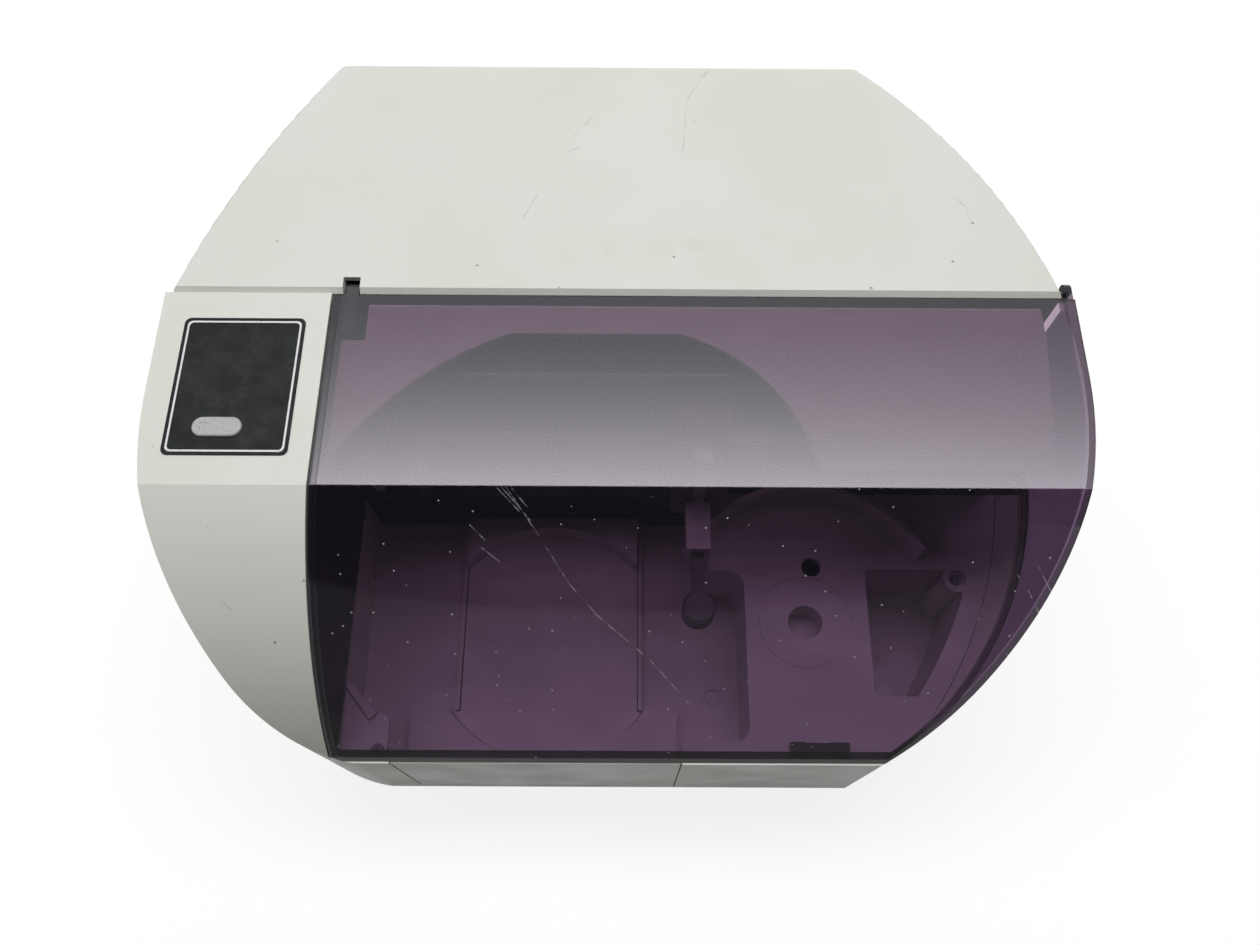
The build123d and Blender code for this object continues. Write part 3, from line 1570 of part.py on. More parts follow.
# Each chip: from the board's left edge, from its front edge, width, length, height
chips = (
    (30.0, 25.0, 24.0, 24.0, 2.2),
    (75.0, 22.0, 14.0, 20.0, 2.0),
    (110.0, 30.0, 10.0, 16.0, 4.0),
    (20.0, 65.0, 12.0, 12.0, 12.0),
)
with BuildPart() as board_parts:
    for from_left, from_front, chip_width, chip_length, chip_height in chips:
        chip_x = board_x[0] + from_left
        chip_y = board_y[0] + from_front
        block(
            (chip_x - chip_width / 2, chip_x + chip_width / 2),
            (chip_y - chip_length / 2, chip_y + chip_length / 2),
            (port_z, port_z + chip_height),
        )
save(board_parts, "board_parts")

port_y = (back_y - port_recess - port_length, back_y - port_recess)
usb_shell = 1.7
usb_depth = 9.0
usb_tongue_inset = 3.5
with BuildPart() as usb_port:
    block(usb_x, port_y, (port_z, usb_top_z))
    block(
        (usb_x[0] + usb_shell, usb_x[1] - usb_shell),
        (port_y[1] - usb_depth, port_y[1]),
        (port_z + usb_shell, usb_top_z - usb_shell),
        Mode.SUBTRACT,
    )
    block(
        (usb_x[0] + usb_tongue_inset, usb_x[1] - usb_tongue_inset),
        (port_y[1] - usb_depth, port_y[1] - 1),
        (port_z + usb_tongue_inset, usb_top_z - usb_tongue_inset),
    )
save(usb_port, "usb_port")

jack_centre_x = sum(jack_x) / 2
jack_centre_z = port_z + jack_height / 2 + 0.5
jack_bore_radius = 3.2
jack_pin_radius = 1.05
jack_depth = 10.0
with BuildPart() as power_jack:
    block(jack_x, port_y, (port_z, jack_top_z))
    jack_bore_y = (port_y[1] - jack_depth, port_y[1])
    y_rod(jack_bore_radius, jack_centre_x, jack_bore_y, jack_centre_z, Mode.SUBTRACT)
    y_rod(jack_pin_radius, jack_centre_x, (port_y[1] - jack_depth, port_y[1] - 1), jack_centre_z)
save(power_jack, "power_jack")
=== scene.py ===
"""Looks of the disc label printer: finishes, the label plate's inlay, light, floor and camera."""

import math

import bpy
import numpy as np
from mathutils import Matrix, Vector


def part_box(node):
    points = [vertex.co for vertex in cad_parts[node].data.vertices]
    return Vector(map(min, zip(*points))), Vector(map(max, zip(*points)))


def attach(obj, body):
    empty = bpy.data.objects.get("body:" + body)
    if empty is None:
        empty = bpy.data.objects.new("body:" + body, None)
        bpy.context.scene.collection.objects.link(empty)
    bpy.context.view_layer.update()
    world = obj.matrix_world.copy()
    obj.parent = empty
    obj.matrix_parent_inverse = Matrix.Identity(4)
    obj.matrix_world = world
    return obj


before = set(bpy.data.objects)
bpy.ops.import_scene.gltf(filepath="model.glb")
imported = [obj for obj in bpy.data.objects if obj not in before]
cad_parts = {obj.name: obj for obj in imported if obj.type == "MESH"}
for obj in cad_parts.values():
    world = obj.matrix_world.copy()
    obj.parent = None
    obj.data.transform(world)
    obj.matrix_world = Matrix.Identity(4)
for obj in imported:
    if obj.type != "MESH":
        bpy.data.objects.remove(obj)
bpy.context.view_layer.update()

# ---------------------------------------------------------------- places on the printer, in metres

# The cover's crease, the back of its flat top, and the y where its ears begin and are whole
CREASE_Y = -0.0653
CREASE_WIDTH = 0.0006
TOP_BACK_Y = 0.036
EAR_Y = (0.0352, 0.0356)

# The curved front's axis (y, z), and the distances from it between which the outside begins
ROOF_AXIS = (-0.01384, 0.01169)
ROOF_SKIN = (0.1743, 0.1747)

# Heights between which the flat top's outside begins, and the bottom rim ends
TOP_SKIN = (0.1783, 0.1787)
BOTTOM_RIM = (0.0975, 0.0968)

# The left wall's outer face, the wall's thickness with its soft edge, and the right wall's
# arc seen from above (x and y of its centre, and its radius)
COVER_LEFT = -0.1336
WALL = 0.0031
WALL_EDGE = 0.0003
RIGHT_ARC = (0.0191, -0.0104, 0.1929)


# ---------------------------------------------------------------- node helpers


class Finish:
    """A material under construction: one surface shader and the patterns that feed it.
    """

    def __init__(self, name, colour, roughness, metallic=0.0, **shine):
        self.material = bpy.data.materials.new(name)
        self.material.use_nodes = True
        self.tree = self.material.node_tree
        self.shader = self.tree.nodes["Principled BSDF"]
        self.output = self.tree.nodes["Material Output"]
        self.shader.inputs["Base Color"].default_value = (*colour, 1)
        self.shader.inputs["Roughness"].default_value = roughness
        self.shader.inputs["Metallic"].default_value = metallic
        for socket, value in shine.items():
            self.shader.inputs[socket.replace("_", " ")].default_value = value
        place = self.node("ShaderNodeTexCoord")
        self.place = place.outputs["Object"]
        self.normal = place.outputs["Normal"]
        split = self.node("ShaderNodeSeparateXYZ")
        self.join(self.place, split.inputs[0])
        self.x, self.y, self.z = split.outputs

    def node(self, kind, **settings):
        """Adds a node with its settings."""
        made = self.tree.nodes.new(kind)
        for name, value in settings.items():
            setattr(made, name, value)
        return made

    def join(self, source, target):
        """Wires a socket to another, or sets the target where the source is a plain value."""
        if isinstance(source, bpy.types.NodeSocket):
            self.tree.links.new(source, target)
        else:
            target.default_value = source

    def maths(self, operation, *values, clamp=False):
        """One sum worked out on numbers or number sockets."""
        made = self.node("ShaderNodeMath", operation=operation, use_clamp=clamp)
        for value, socket in zip(values, made.inputs):
            self.join(value, socket)
        return made.outputs[0]

    def ramp(self, value, start, end, low=0.0, high=1.0):
        """A smooth step of a value from low at start to high at end."""
        made = self.node("ShaderNodeMapRange", interpolation_type="SMOOTHSTEP")
        for item, socket in zip((value, start, end, low, high), made.inputs):
            self.join(item, socket)
        return made.outputs[0]

    def radius(self, first, first_centre, second, second_centre):
        """Distance from a line: the root of the two offsets squared and added."""
        legs = [
            self.maths("POWER", self.maths("ABSOLUTE", self.maths("SUBTRACT", value, centre)), 2.0)
            for value, centre in ((first, first_centre), (second, second_centre))
        ]
        return self.maths("SQRT", self.maths("ADD", *legs))

    def noise(self, scale, detail=3.0, rough=0.5, stretch=(1, 1, 1)):
        """Noise in object coordinates, with scale in cycles per metre."""
        mapping = self.node("ShaderNodeMapping")
        mapping.inputs["Scale"].default_value = stretch
        self.join(self.place, mapping.inputs[0])
        made = self.node("ShaderNodeTexNoise")
        made.inputs["Scale"].default_value = scale
        made.inputs["Detail"].default_value = detail
        made.inputs["Roughness"].default_value = rough
        self.join(mapping.outputs[0], made.inputs["Vector"])
        return made.outputs[0]

    def specks(self, scale, size, share):
        """Small round dots in a share of the cells round random points, scale cells to a metre."""
        made = self.node("ShaderNodeTexVoronoi")
        made.inputs["Scale"].default_value = scale
        self.join(self.place, made.inputs["Vector"])
        dot = self.ramp(made.outputs["Distance"], size, size * 0.5)
        pick = self.node("ShaderNodeSeparateColor")
        self.join(made.outputs["Color"], pick.inputs[0])
        chosen = self.maths("GREATER_THAN", pick.outputs[0], 1 - share)
        return self.maths("MULTIPLY", dot, chosen)

    def mix(self, share, first, second):
        """A colour between two colours or colour sockets."""
        made = self.node("ShaderNodeMix", data_type="RGBA")
        self.join(share, made.inputs[0])
        for value, socket in ((first, made.inputs[6]), (second, made.inputs[7])):
            self.join(value if isinstance(value, bpy.types.NodeSocket) else (*value, 1), socket)
        return made.outputs[2]

    def blend(self, share, first, second):
        """A number between two numbers or number sockets."""
        made = self.node("ShaderNodeMix", data_type="FLOAT")
        for value, place in ((share, 0), (first, 2), (second, 3)):
            self.join(value, made.inputs[place])
        return made.outputs[0]

    def strokes(self, lines, width):
        """Thin scratches, 1 where a place seen from above is within width of any line.

        The nearest point of a run is its start plus the run times the clamped share along it,
        and noise thins the scratch here and there.
        """
        flat = self.node("ShaderNodeCombineXYZ")
        self.join(self.x, flat.inputs[0])
        self.join(self.y, flat.inputs[1])
        nearest = 1.0
        for line in lines:
            for (x0, y0), (x1, y1) in zip(line, line[1:]):
                away = self.vector("SUBTRACT", flat.outputs[0], (x0, y0, 0))
                along = (x1 - x0, y1 - y0, 0)
                length = along[0] ** 2 + along[1] ** 2
                reach = self.vector("DOT_PRODUCT", away, tuple(v / length for v in along), 1)
                reach = self.maths("ADD", reach, 0.0, clamp=True)
                step = self.node("ShaderNodeVectorMath", operation="SCALE")
                step.inputs[0].default_value = along
                self.join(reach, step.inputs["Scale"])
                gap = self.vector("SUBTRACT", away, step.outputs[0])
                nearest = self.maths("MINIMUM", nearest, self.vector("LENGTH", gap, None, 1))
        wobble = self.ramp(self.noise(330, 3.0), 0.35, 0.62, 0.15, 1.0)
        return self.maths("MULTIPLY", self.ramp(nearest, width, width * 0.35), wobble)

    def vector(self, operation, first, second=None, output=0):
        """One sum on vectors: output 0 is the vector, and output 1 the number."""
        made = self.node("ShaderNodeVectorMath", operation=operation)
        self.join(first, made.inputs[0])
        if second is not None:
            self.join(second, made.inputs[1])
        return made.outputs[output]

    def colour(self, source):
        """Feeds the surface's colour."""
        self.join(source, self.shader.inputs["Base Color"])

    def rough(self, source):
        """Feeds the surface's roughness."""
        self.join(source, self.shader.inputs["Roughness"])

    def bump(self, height, depth, strength=0.5):
        """Raises the surface by a height map, in metres of depth."""
        made = self.node("ShaderNodeBump")
        made.inputs["Strength"].default_value = strength
        made.inputs["Distance"].default_value = depth
        self.join(height, made.inputs["Height"])
        self.join(made.outputs[0], self.shader.inputs["Normal"])


# ---------------------------------------------------------------- finishes


def casing_white():
    """Off-white moulded casing with a fine spark-eroded grain, age stains, scuffs and specks."""
    made = Finish("casing white", (0.72, 0.72, 0.675), 0.5, Specular_IOR_Level=0.3)
    broad = made.ramp(made.noise(9, 4.0), 0.35, 0.7)
    aged = made.mix(broad, (0.735, 0.735, 0.69), (0.70, 0.695, 0.64))
    from_stain = made.vector("SUBTRACT", made.place, (0.03, 0.056, 0.18))
    from_stain = made.vector("MULTIPLY", from_stain, (0.75, 4.0, 1.0))
    stain = made.ramp(made.vector("LENGTH", from_stain, None, 1), 0.07, 0.01)
    stain = made.maths("MULTIPLY", stain, made.ramp(made.noise(45, 4.0), 0.35, 0.75, 0.0, 0.75))
    aged = made.mix(stain, aged, (0.66, 0.64, 0.55))
    dirt = made.maths("MULTIPLY", made.specks(75, 0.075, 0.30), 0.70)
    aged = made.mix(dirt, aged, (0.22, 0.20, 0.17))
    scuffs = [
        [(-0.0153, 0.1359), (-0.0246, 0.1237)],
        [(-0.0209, 0.1175), (-0.0278, 0.1143)],
        [(-0.0412, 0.0881), (-0.047, 0.075)],
        [(0.1636, 0.0879), (0.1673, 0.082), (0.1687, 0.0738)],
        [(0.0447, 0.1679), (0.0393, 0.1592), (0.0329, 0.148), (0.0304, 0.1161)],
        [(0.0484, 0.172), (0.0399, 0.1625)],
        [(-0.1723, -0.1104), (-0.167, -0.1142)],
    ]
    lines = made.strokes(scuffs, 0.0005)
    made.colour(made.mix(made.maths("MULTIPLY", lines, 0.45), aged, (0.40, 0.38, 0.35)))
    made.rough(made.ramp(made.noise(30, 3.0), 0.3, 0.7, 0.40, 0.52))
    made.bump(made.noise(2600, 2.0), 0.00008, 0.35)
    return made.material


def inner_white():
    """Plain white moulding inside the bins: satin, with faint flow marks and handling wear."""
    made = Finish("inner white", (0.72, 0.71, 0.69), 0.42)
    flow = made.ramp(made.noise(24, 3.0, 0.5, (1, 3, 1)), 0.3, 0.75)
    base = made.mix(flow, (0.74, 0.73, 0.71), (0.66, 0.65, 0.63))
    wear = made.maths("MULTIPLY", made.specks(90, 0.06, 0.08), 0.5)
    made.colour(made.mix(wear, base, (0.4, 0.38, 0.36)))
    made.rough(made.ramp(made.noise(60, 2.0), 0.3, 0.7, 0.36, 0.5))
    made.bump(made.noise(1900, 2.0), 0.00006, 0.3)
    return made.material


def smoked_plastic():
    """Smoke-purple sheet: frosted on the flat top, with a painted sheen lighter towards the front;
    glossy and clear on the curved front.

    A sight line that meets the sheet's outside takes the whole tint there, and one that meets
    an upright wall takes half of it on each face. The walls' ends and edges, seen along the
    sheet, are nearly black.
    """
    made = Finish("smoked cover", (0.03, 0.025, 0.035), 0.08, Specular_IOR_Level=0.5)
    from_axis = made.radius(made.y, ROOF_AXIS[0], made.z, ROOF_AXIS[1])
    before_crease = made.ramp(made.y, CREASE_Y + CREASE_WIDTH, CREASE_Y)
    behind_crease = made.ramp(made.y, CREASE_Y, CREASE_Y + CREASE_WIDTH)
    on_roof = made.maths("MULTIPLY", made.ramp(from_axis, *ROOF_SKIN), before_crease)
    on_top = made.maths("MULTIPLY", made.ramp(made.z, *TOP_SKIN), behind_crease)
    outside = made.maths("MAXIMUM", on_roof, on_top)
    split = made.node("ShaderNodeSeparateXYZ")
    made.join(made.normal, split.inputs[0])
    steep = made.ramp(made.maths("ABSOLUTE", split.outputs[2]), 0.30, 0.20)
    steep = made.maths("MULTIPLY", steep, made.maths("SUBTRACT", 1.0, outside))

    low_edge = made.ramp(made.z, *BOTTOM_RIM)
    from_left = made.maths("SUBTRACT", made.x, COVER_LEFT)
    left_band = made.ramp(from_left, WALL, WALL - WALL_EDGE)
    left_line = made.ramp(from_left, 0.0010, 0.0007)
    from_inner = made.maths("ABSOLUTE", made.maths("SUBTRACT", from_left, WALL))
    inner_line = made.ramp(from_inner, 0.0005, 0.0003)
    arc_x, arc_y, arc_radius = RIGHT_ARC
    from_right = made.radius(made.x, arc_x, made.y, arc_y)
    right_band = made.ramp(from_right, arc_radius - WALL, arc_radius - WALL + WALL_EDGE)
    right_band = made.maths("MULTIPLY", right_band, made.maths("GREATER_THAN", made.x, 0.0))
    rim = made.maths("MAXIMUM", low_edge, made.maths("MULTIPLY", left_band, 0.35))
    rim = made.maths("MAXIMUM", rim, made.maths("MULTIPLY", left_line, 0.95))
    rim = made.maths("MAXIMUM", rim, made.maths("MULTIPLY", inner_line, 0.55))
    rim = made.maths("MAXIMUM", rim, made.maths("MULTIPLY", right_band, 0.85))
    rim = made.maths("MULTIPLY", rim, made.maths("MAXIMUM", outside, low_edge))
    rim = made.maths("MAXIMUM", rim, made.ramp(made.y, *EAR_Y))

    scratches = made.strokes(
        [
            [
                (-0.0486, -0.0657), (-0.036, -0.0829), (-0.0209, -0.1041), (-0.008, -0.1164),
                (0.0108, -0.1297),
            ],
            [(-0.0525, -0.0660), (-0.0425, -0.0758)],
            [(-0.0503, -0.0660), (-0.0381, -0.0790)],
            [(-0.046, -0.0664), (-0.039, -0.0742)],
            [(-0.0639, -0.0811), (-0.0574, -0.087)],
            [(-0.0604, -0.0889), (-0.051, -0.0955)],
            [(0.1791, -0.0936), (0.1862, -0.105), (0.1917, -0.1088)],
            [(0.172, -0.0994), (0.1739, -0.1021)],
            [(0.1767, -0.1051), (0.1838, -0.1163)],
            [(0.0139, -0.1318), (0.0321, -0.1482)],
        ],
        0.00032,
    )
    dust = made.maths("MULTIPLY", made.specks(210, 0.12, 0.30), 0.8)
    fine_dust = made.maths("MULTIPLY", made.specks(560, 0.15, 0.30), 0.30)
    dust = made.maths("MAXIMUM", dust, fine_dust)
    marks = made.maths("MAXIMUM", made.maths("MULTIPLY", scratches, 0.62), dust)
    marks = made.maths("MULTIPLY", marks, on_roof)

    grain = made.ramp(made.noise(1500, 2.0), 0.3, 0.7)
    # Painted sheen: the frosted top's colour runs from dark at the back to much lighter at the
    # crease, standing in for the sheen there. The same ramp also makes the frosting more solid
    # towards the front.
    forward = made.maths("SUBTRACT", TOP_BACK_Y, made.y)
    forward = made.maths("DIVIDE", forward, TOP_BACK_Y - CREASE_Y, clamp=True)
    frost_density_and_sheen = made.maths("MULTIPLY", forward, forward)
    frost_back = made.mix(grain, (0.054, 0.059, 0.066), (0.094, 0.101, 0.113))
    frost_front_with_sheen = made.mix(grain, (0.375, 0.342, 0.390), (0.510, 0.466, 0.530))
    body = made.mix(on_top, (0.026, 0.025, 0.036), made.mix(frost_density_and_sheen, frost_back, frost_front_with_sheen))
    body = made.mix(rim, body, (0.008, 0.007, 0.010))
    made.colour(made.mix(marks, body, (0.62, 0.60, 0.64)))
    made.rough(made.blend(on_top, 0.06, 0.40))
    made.bump(made.maths("MULTIPLY", made.noise(1300, 2.0), on_top), 0.00010, 0.5)

    frosting = made.maths("MULTIPLY", on_top, made.blend(frost_density_and_sheen, 0.58, 0.82))
    solid = made.maths("ADD", frosting, made.maths("MULTIPLY", on_roof, 0.22))
    solid = made.maths("MAXIMUM", solid, made.maths("MULTIPLY", steep, 0.28))
    solid = made.maths("MAXIMUM", solid, made.maths("MULTIPLY", rim, 0.92))
    solid = made.maths("MAXIMUM", solid, marks)
    tint = made.mix(on_top, (0.485, 0.36, 0.50), (0.82, 0.58, 0.78))
    tint = made.mix(outside, made.mix(steep, (1, 1, 1), (0.47, 0.38, 0.48)), tint)
    clear = made.node("ShaderNodeBsdfTransparent")
    made.join(tint, clear.inputs[0])
    both = made.node("ShaderNodeMixShader")
    made.join(solid, both.inputs[0])
    made.join(clear.outputs[0], both.inputs[1])
    made.join(made.shader.outputs[0], both.inputs[2])
    made.join(both.outputs[0], made.output.inputs[0])
    return made.material


def black_plastic():
    """Black satin moulding with a light dust on its grain."""
    made = Finish("black plastic", (0.03, 0.03, 0.032), 0.42)
    dust = made.ramp(made.noise(120, 4.0), 0.45, 0.8)
    made.colour(made.mix(dust, (0.026, 0.026, 0.028), (0.06, 0.058, 0.058)))
    made.rough(made.ramp(made.noise(50, 2.0), 0.3, 0.7, 0.34, 0.52))
    made.bump(made.noise(2200, 2.0), 0.00007, 0.4)
    return made.material


def charcoal_plastic():
    """Dark grey moulding of the gripper, with a slight bloom."""
    made = Finish("charcoal plastic", (0.10, 0.098, 0.10), 0.5)
    bloom = made.ramp(made.noise(90, 4.0), 0.4, 0.8)
    made.colour(made.mix(bloom, (0.09, 0.088, 0.09), (0.15, 0.146, 0.15)))
    made.bump(made.noise(2000, 2.0), 0.00007, 0.4)
    return made.material


def black_steel():
    """Black powder coat over folded steel, with an orange-peel texture."""
    made = Finish("black steel", (0.022, 0.022, 0.024), 0.5)
    worn = made.ramp(made.noise(150, 4.0), 0.5, 0.85)
    made.colour(made.mix(worn, (0.02, 0.02, 0.022), (0.045, 0.044, 0.045)))
    made.rough(made.ramp(made.noise(60, 2.0), 0.3, 0.7, 0.42, 0.6))
    made.bump(made.noise(1100, 2.0), 0.00010, 0.5)
    return made.material


def plate_film():
    """Charcoal plate under a clouded, worn film, lighter in patches."""
    made = Finish("plate film", (0.03, 0.03, 0.032), 0.45, Specular_IOR_Level=0.12)
    cloud = made.ramp(made.noise(75, 6.0, 0.68), 0.40, 0.75)
    made.colour(made.mix(cloud, (0.012, 0.014, 0.016), (0.028, 0.031, 0.034)))
    made.rough(made.ramp(made.noise(140, 4.0), 0.35, 0.65, 0.40, 0.55))
    made.bump(made.noise(260, 3.0, 0.6), 0.00005, 0.2)
    return made.material


def silver_paint():
    """Silver-painted plastic with a fine sparkle."""
    made = Finish("silver paint", (0.50, 0.505, 0.51), 0.34)
    sparkle = made.ramp(made.noise(700, 3.0), 0.35, 0.7)
    made.colour(made.mix(sparkle, (0.37, 0.375, 0.38), (0.43, 0.435, 0.44)))
    made.rough(made.ramp(made.noise(300, 2.0), 0.3, 0.7, 0.30, 0.38))
    return made.material


def white_line():
    """Pale printed line, slightly worn through."""
    made = Finish("white line", (0.70, 0.71, 0.70), 0.4)
    worn = made.ramp(made.noise(500, 4.0), 0.62, 0.75)
    made.colour(made.mix(worn, (0.72, 0.73, 0.72), (0.32, 0.32, 0.33)))
    return made.material


def dark_lens():
    """Dark indicator window."""
    made = Finish("dark lens", (0.012, 0.012, 0.014), 0.07, Coat_Weight=0.5)
    depth = made.ramp(made.noise(400, 2.0), 0.4, 0.7)
    made.colour(made.mix(depth, (0.010, 0.010, 0.012), (0.022, 0.021, 0.024)))
    return made.material


def circuit_board():
    """Green solder mask over copper tracks, with small pale pads."""
    made = Finish("circuit board", (0.03, 0.16, 0.08), 0.32)
    tracks = made.node("ShaderNodeTexBrick")
    tracks.inputs["Scale"].default_value = 160
    tracks.inputs["Mortar Size"].default_value = 0.035
    made.join(made.place, tracks.inputs["Vector"])
    base = made.mix(tracks.outputs["Fac"], (0.025, 0.15, 0.07), (0.05, 0.24, 0.11))
    made.colour(made.mix(made.specks(330, 0.16, 0.35), base, (0.62, 0.60, 0.50)))
    made.bump(tracks.outputs["Fac"], 0.00003, 0.4)
    return made.material


def board_part():
    """Moulded component bodies."""
    made = Finish("board part", (0.035, 0.035, 0.036), 0.5)
    made.colour(made.mix(made.noise(200, 3.0), (0.028, 0.028, 0.03), (0.05, 0.05, 0.05)))
    made.bump(made.noise(1800, 2.0), 0.00005, 0.4)
    return made.material


def steel(name, colour, roughness, stretch, spread):
    """Bare, plated or blackened steel, whose fine lines are the noise stretched along its axes."""
    made = Finish(name, colour, roughness, metallic=1.0)
    lines = made.noise(420, 3.0, 0.6, stretch)
    darker = tuple(v * 0.82 for v in colour)
    made.colour(made.mix(made.ramp(lines, 0.35, 0.7), darker, colour))
    made.rough(made.ramp(lines, 0.3, 0.7, roughness - spread, roughness + spread))
    return made.material


def grey_plastic():
    """Light grey working parts."""
    made = Finish("grey plastic", (0.62, 0.62, 0.61), 0.45)
    made.colour(made.mix(made.noise(60, 3.0), (0.70, 0.70, 0.69), (0.80, 0.80, 0.79)))
    made.bump(made.noise(1800, 2.0), 0.00006, 0.35)
    return made.material


def pulley_plastic():
    """Cream wheel plastic with fine teeth across its rim."""
    made = Finish("pulley plastic", (0.70, 0.68, 0.62), 0.4)
    made.colour(made.mix(made.noise(90, 3.0), (0.66, 0.64, 0.58), (0.73, 0.71, 0.66)))
    wave = made.node("ShaderNodeTexWave", bands_direction="X")
    wave.inputs["Scale"].default_value = 160
    made.join(made.place, wave.inputs["Vector"])
    made.bump(wave.outputs["Fac"], 0.0003, 0.5)
    return made.material


def rubber(name, bands):
    """Black rubber with a matt bloom; drive belts have teeth across them."""
    made = Finish(name, (0.022, 0.022, 0.022), 0.72)
    bloom = made.ramp(made.noise(110, 4.0), 0.4, 0.75)
    made.colour(made.mix(bloom, (0.018, 0.018, 0.018), (0.05, 0.048, 0.046)))
    if bands:
        wave = made.node("ShaderNodeTexWave", bands_direction="X")
        wave.inputs["Scale"].default_value = bands
        made.join(made.place, wave.inputs["Vector"])
        made.bump(wave.outputs["Fac"], 0.0004, 0.7)
    else:
        made.bump(made.noise(900, 3.0), 0.00015, 0.5)
    return made.material


def cartridge_plastic():
    """Glossy black cartridge shell."""
    made = Finish("cartridge plastic", (0.02, 0.02, 0.022), 0.22)
    made.colour(made.mix(made.noise(40, 3.0), (0.016, 0.016, 0.018), (0.035, 0.035, 0.037)))
    made.rough(made.ramp(made.noise(80, 3.0), 0.3, 0.7, 0.16, 0.34))
    return made.material


def floor_pale():
    """Pale matt floor that shows white to the camera and in gloss, and keeps the shadow."""
    made = Finish("pale floor", (0.225, 0.225, 0.225), 0.9, Specular_IOR_Level=0.1)
    made.colour(made.mix(made.noise(3, 2.0), (0.235, 0.235, 0.235), (0.215, 0.215, 0.215)))
    path = made.node("ShaderNodeLightPath")
    seen = made.maths("MAXIMUM", path.outputs["Is Camera Ray"], path.outputs["Is Glossy Ray"])
    seen = made.maths("MAXIMUM", seen, path.outputs["Is Transmission Ray"])
    glow = made.node("ShaderNodeEmission")
    made.join(made.maths("MULTIPLY", seen, 0.83), glow.inputs["Strength"])
    both = made.node("ShaderNodeAddShader")
    made.join(made.shader.outputs[0], both.inputs[0])
    made.join(glow.outputs[0], both.inputs[1])
    made.join(both.outputs[0], made.output.inputs[0])
    return made.material


def dress(material, *nodes):
    """Gives CAD nodes a finish."""
    for name in nodes:
        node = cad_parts[name]
        if not node.material_slots:
            node.data.materials.append(material)
        for slot in node.material_slots:
            slot.material = material


dress(casing_white(), "base_housing", "left_cheek", "top_shell", "drawer_front")
dress(
    inner_white(), "disc_drawer", "drawer_rails", "bin_floor", "disc_platform", "front_gusset",
    "inner_deck", "bin_guide",
)
dress(smoked_plastic(), "smoked_cover")
dress(
    black_plastic(), "hinge_arm", "cover_latch", "service_station", "picker_brackets",
    "tray_rails", "print_tray", "picker_carriage", "print_carriage",
)
dress(charcoal_plastic(), "gripper_head")
dress(plate_film(), "label_plate")
dress(silver_paint(), "power_button")
dress(dark_lens(), "button_lens")
dress(circuit_board(), "button_board", "controller_board")
dress(board_part(), "board_parts", "power_jack")
dress(
    steel("plated steel", (0.62, 0.63, 0.64), 0.34, (1, 6, 6), 0.10),
    "bottom_pan", "usb_port",
)
dress(black_steel(), "chassis_plate", "left_side_frame", "right_side_frame", "belt_beam")
dress(
    steel("blackened steel", (0.16, 0.16, 0.17), 0.45, (3, 3, 3), 0.08),
    "case_screws", "deck_screws", "picker_rods", "carriage_shafts", "hinge_pins",
)
dress(grey_plastic(), "picker_arm", "grip_finger_1", "grip_finger_2", "grip_finger_3")
dress(
    pulley_plastic(), "picker_drive_pulley", "picker_idler_pulley", "print_drive_pulley",
    "print_idler_pulley",
)
dress(
    steel("motor steel", (0.20, 0.20, 0.21), 0.5, (8, 8, 1), 0.08),
    "tray_motor", "picker_motor", "lift_motor", "print_motor",
)
dress(rubber("soft rubber", 0), "rubber_feet", "tray_roller", "lift_roller", "capping_pad")
dress(rubber("belt rubber", 130), "picker_belt", "print_belt")
dress(cartridge_plastic(), "ink_cartridge")


# ---------------------------------------------------------------- new pieces


def surface(name, grid, material, closed):
    """Makes a piece from a grid of points, joined round in both directions where it is closed.

    A face joins the points (u, v), (u + 1, v), (u + 1, v + 1) and (u, v + 1) of the grid.
    """
    rows, columns = grid.shape[:2]
    here = np.arange(rows * columns).reshape(rows, columns)
    across = np.roll(here, -1, 0)
    corners = np.stack([here, across, np.roll(across, -1, 1), np.roll(here, -1, 1)], -1)
    if not closed:
        corners = corners[:-1, :-1]
    faces = corners.reshape(-1, 4)
    mesh = bpy.data.meshes.new(name)
    mesh.from_pydata(grid.reshape(-1, 3).tolist(), [], faces.tolist())
    mesh.materials.append(material)
    mesh.validate()
    piece = bpy.data.objects.new(name, mesh)
    bpy.context.scene.collection.objects.link(piece)
    return piece


def rounded_rectangle(half_x, half_y, radius, count):
    """Points round a rectangle whose corners are quarter circles of a radius.

    A point is its corner's centre plus the radius times (cos a, sin a), and each corner's
    angle a runs through a quarter turn. The straight sides join the corners' ends.
    """
    turn = np.linspace(0, np.pi / 2, count)
    points = []
    for quarter, (sx, sy) in enumerate(((1, 1), (-1, 1), (-1, -1), (1, -1))):
        angle = turn + quarter * np.pi / 2
        centre = np.array([sx * (half_x - radius), sy * (half_y - radius)])
        points.append(centre + radius * np.stack([np.cos(angle), np.sin(angle)], -1))
    return np.concatenate(points)


def plate_inlay():
    """The pale line round the label plate: a flat strip carried round a rounded rectangle.

    Its section is a rectangle of four points, offset from the plate's edge and sunk in the plate.
    A corner's radius shrinks by 0.4 times the offset.
    """
    (left, front, _), (right, back, top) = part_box("label_plate")
    inset, width, proud, sunk = 0.0016, 0.0009, 0.00006, 0.0002
    corner_radius, corner_points = 0.003, 12
    half_x, half_y = (right - left) / 2, (back - front) / 2
    outer, inner, low, high = inset, inset + width, top - sunk, top + proud
    rings = []
    for edge, z in ((outer, low), (inner, low), (inner, high), (outer, high)):
        radius = corner_radius - 0.4 * edge
        outline = rounded_rectangle(half_x - edge, half_y - edge, radius, corner_points)
        outline += ((left + right) / 2, (front + back) / 2)
        rings.append(np.column_stack([outline, np.full(len(outline), z)]))
    return surface("plate_inlay", np.stack(rings, 1), white_line(), closed=True)


inlay = plate_inlay()
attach(inlay, "casing")


# ---------------------------------------------------------------- floor, light and camera


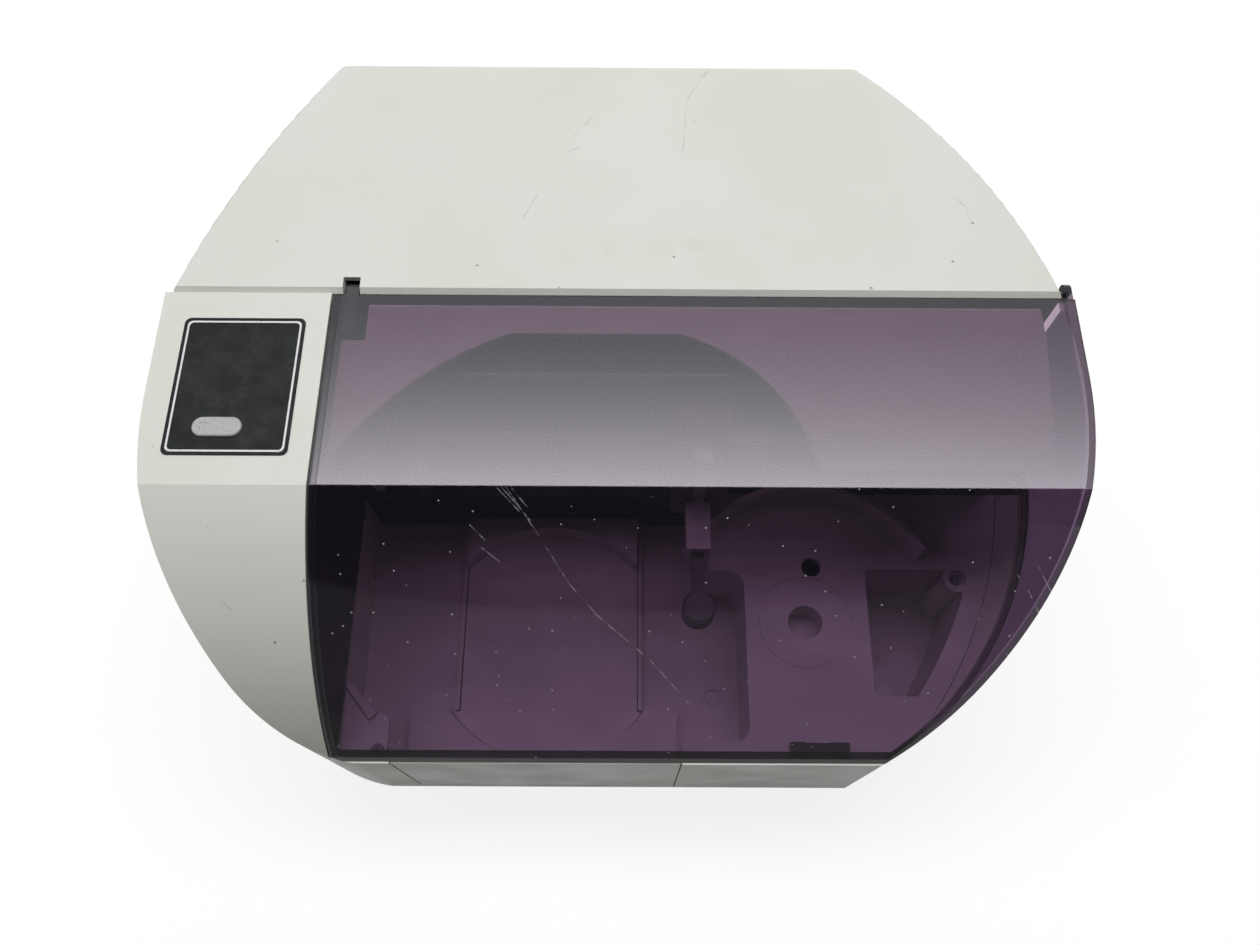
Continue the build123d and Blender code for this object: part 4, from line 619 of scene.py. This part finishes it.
def pale_floor():
    """A floor flat near the printer that rises all round like a wide bowl.

    Its height is the steepness times the square of the distance past the flat part's radius.
    It lies a little below the feet.
    """
    flat_radius, steepness, half_side, drop = 2.2, 0.6, 4.6, 0.0002
    side = np.linspace(-half_side, half_side, 121)
    x, y = np.meshgrid(side, side)
    past = np.maximum(np.hypot(x, y) - flat_radius, 0.0)
    grid = np.stack([x, y, steepness * past**2 - drop], -1)
    return surface("floor", grid, floor_pale(), closed=False)


pale_floor()


def softbox(name, place, aim, size, power):
    """A rectangular lamp at a place, facing a point, with its size in metres and power in watts."""
    lamp = bpy.data.lights.new(name, "AREA")
    lamp.shape = "RECTANGLE"
    lamp.size, lamp.size_y = size
    lamp.energy = power
    holder = bpy.data.objects.new(name, lamp)
    bpy.context.scene.collection.objects.link(holder)
    holder.location = place
    holder.rotation_euler = (Vector(aim) - Vector(place)).to_track_quat("-Z", "Y").to_euler()


softbox("overhead lamp", (0.0, 0.40, 1.65), (0.0, 0.05, 0.15), (1.7, 0.62), 20.5)
softbox("left lamp", (-1.5, -0.1, 1.2), (0.0, 0.0, 0.1), (0.9, 0.9), 4.5)
softbox("right lamp", (1.7, 0.3, 0.9), (0.0, 0.0, 0.1), (0.8, 0.8), 3.0)
softbox("rear lamp", (0.2, 1.9, 0.8), (0.0, 0.0, 0.1), (1.0, 0.6), 6.0)

world = bpy.data.worlds.new("studio")
bpy.context.scene.world = world
world.use_nodes = True
fill_light = world.node_tree.nodes["Background"]
fill_light.inputs["Color"].default_value = (1, 1, 1, 1)
fill_light.inputs["Strength"].default_value = 0.14


def photo_camera():
    """A 30 mm camera above and before the printer, looking steeply down.

    Its three angles are the pitch down from level, the yaw to the right and the roll.
    """
    place = (0.00318, -0.23653, 0.59803)
    pitch, yaw, roll = (math.radians(v) for v in (66.944, 0.482, 0.763))
    level = Vector((math.cos(yaw), -math.sin(yaw), 0))
    ahead = Vector((math.sin(yaw), math.cos(yaw), 0))
    forward = math.cos(pitch) * ahead - math.sin(pitch) * Vector((0, 0, 1))
    above = level.cross(forward)
    right = math.cos(roll) * level + math.sin(roll) * above
    up = math.cos(roll) * above - math.sin(roll) * level
    lens = bpy.data.cameras.new("camera")
    lens.lens = 30.0
    lens.sensor_width = 36.0
    lens.clip_start = 0.01
    camera = bpy.data.objects.new("camera", lens)
    bpy.context.scene.collection.objects.link(camera)
    turn = Matrix((right, up, -forward)).transposed().to_4x4()
    camera.matrix_world = Matrix.Translation(place) @ turn
    bpy.context.scene.camera = camera


photo_camera()
bpy.context.scene.view_settings.view_transform = "Standard"
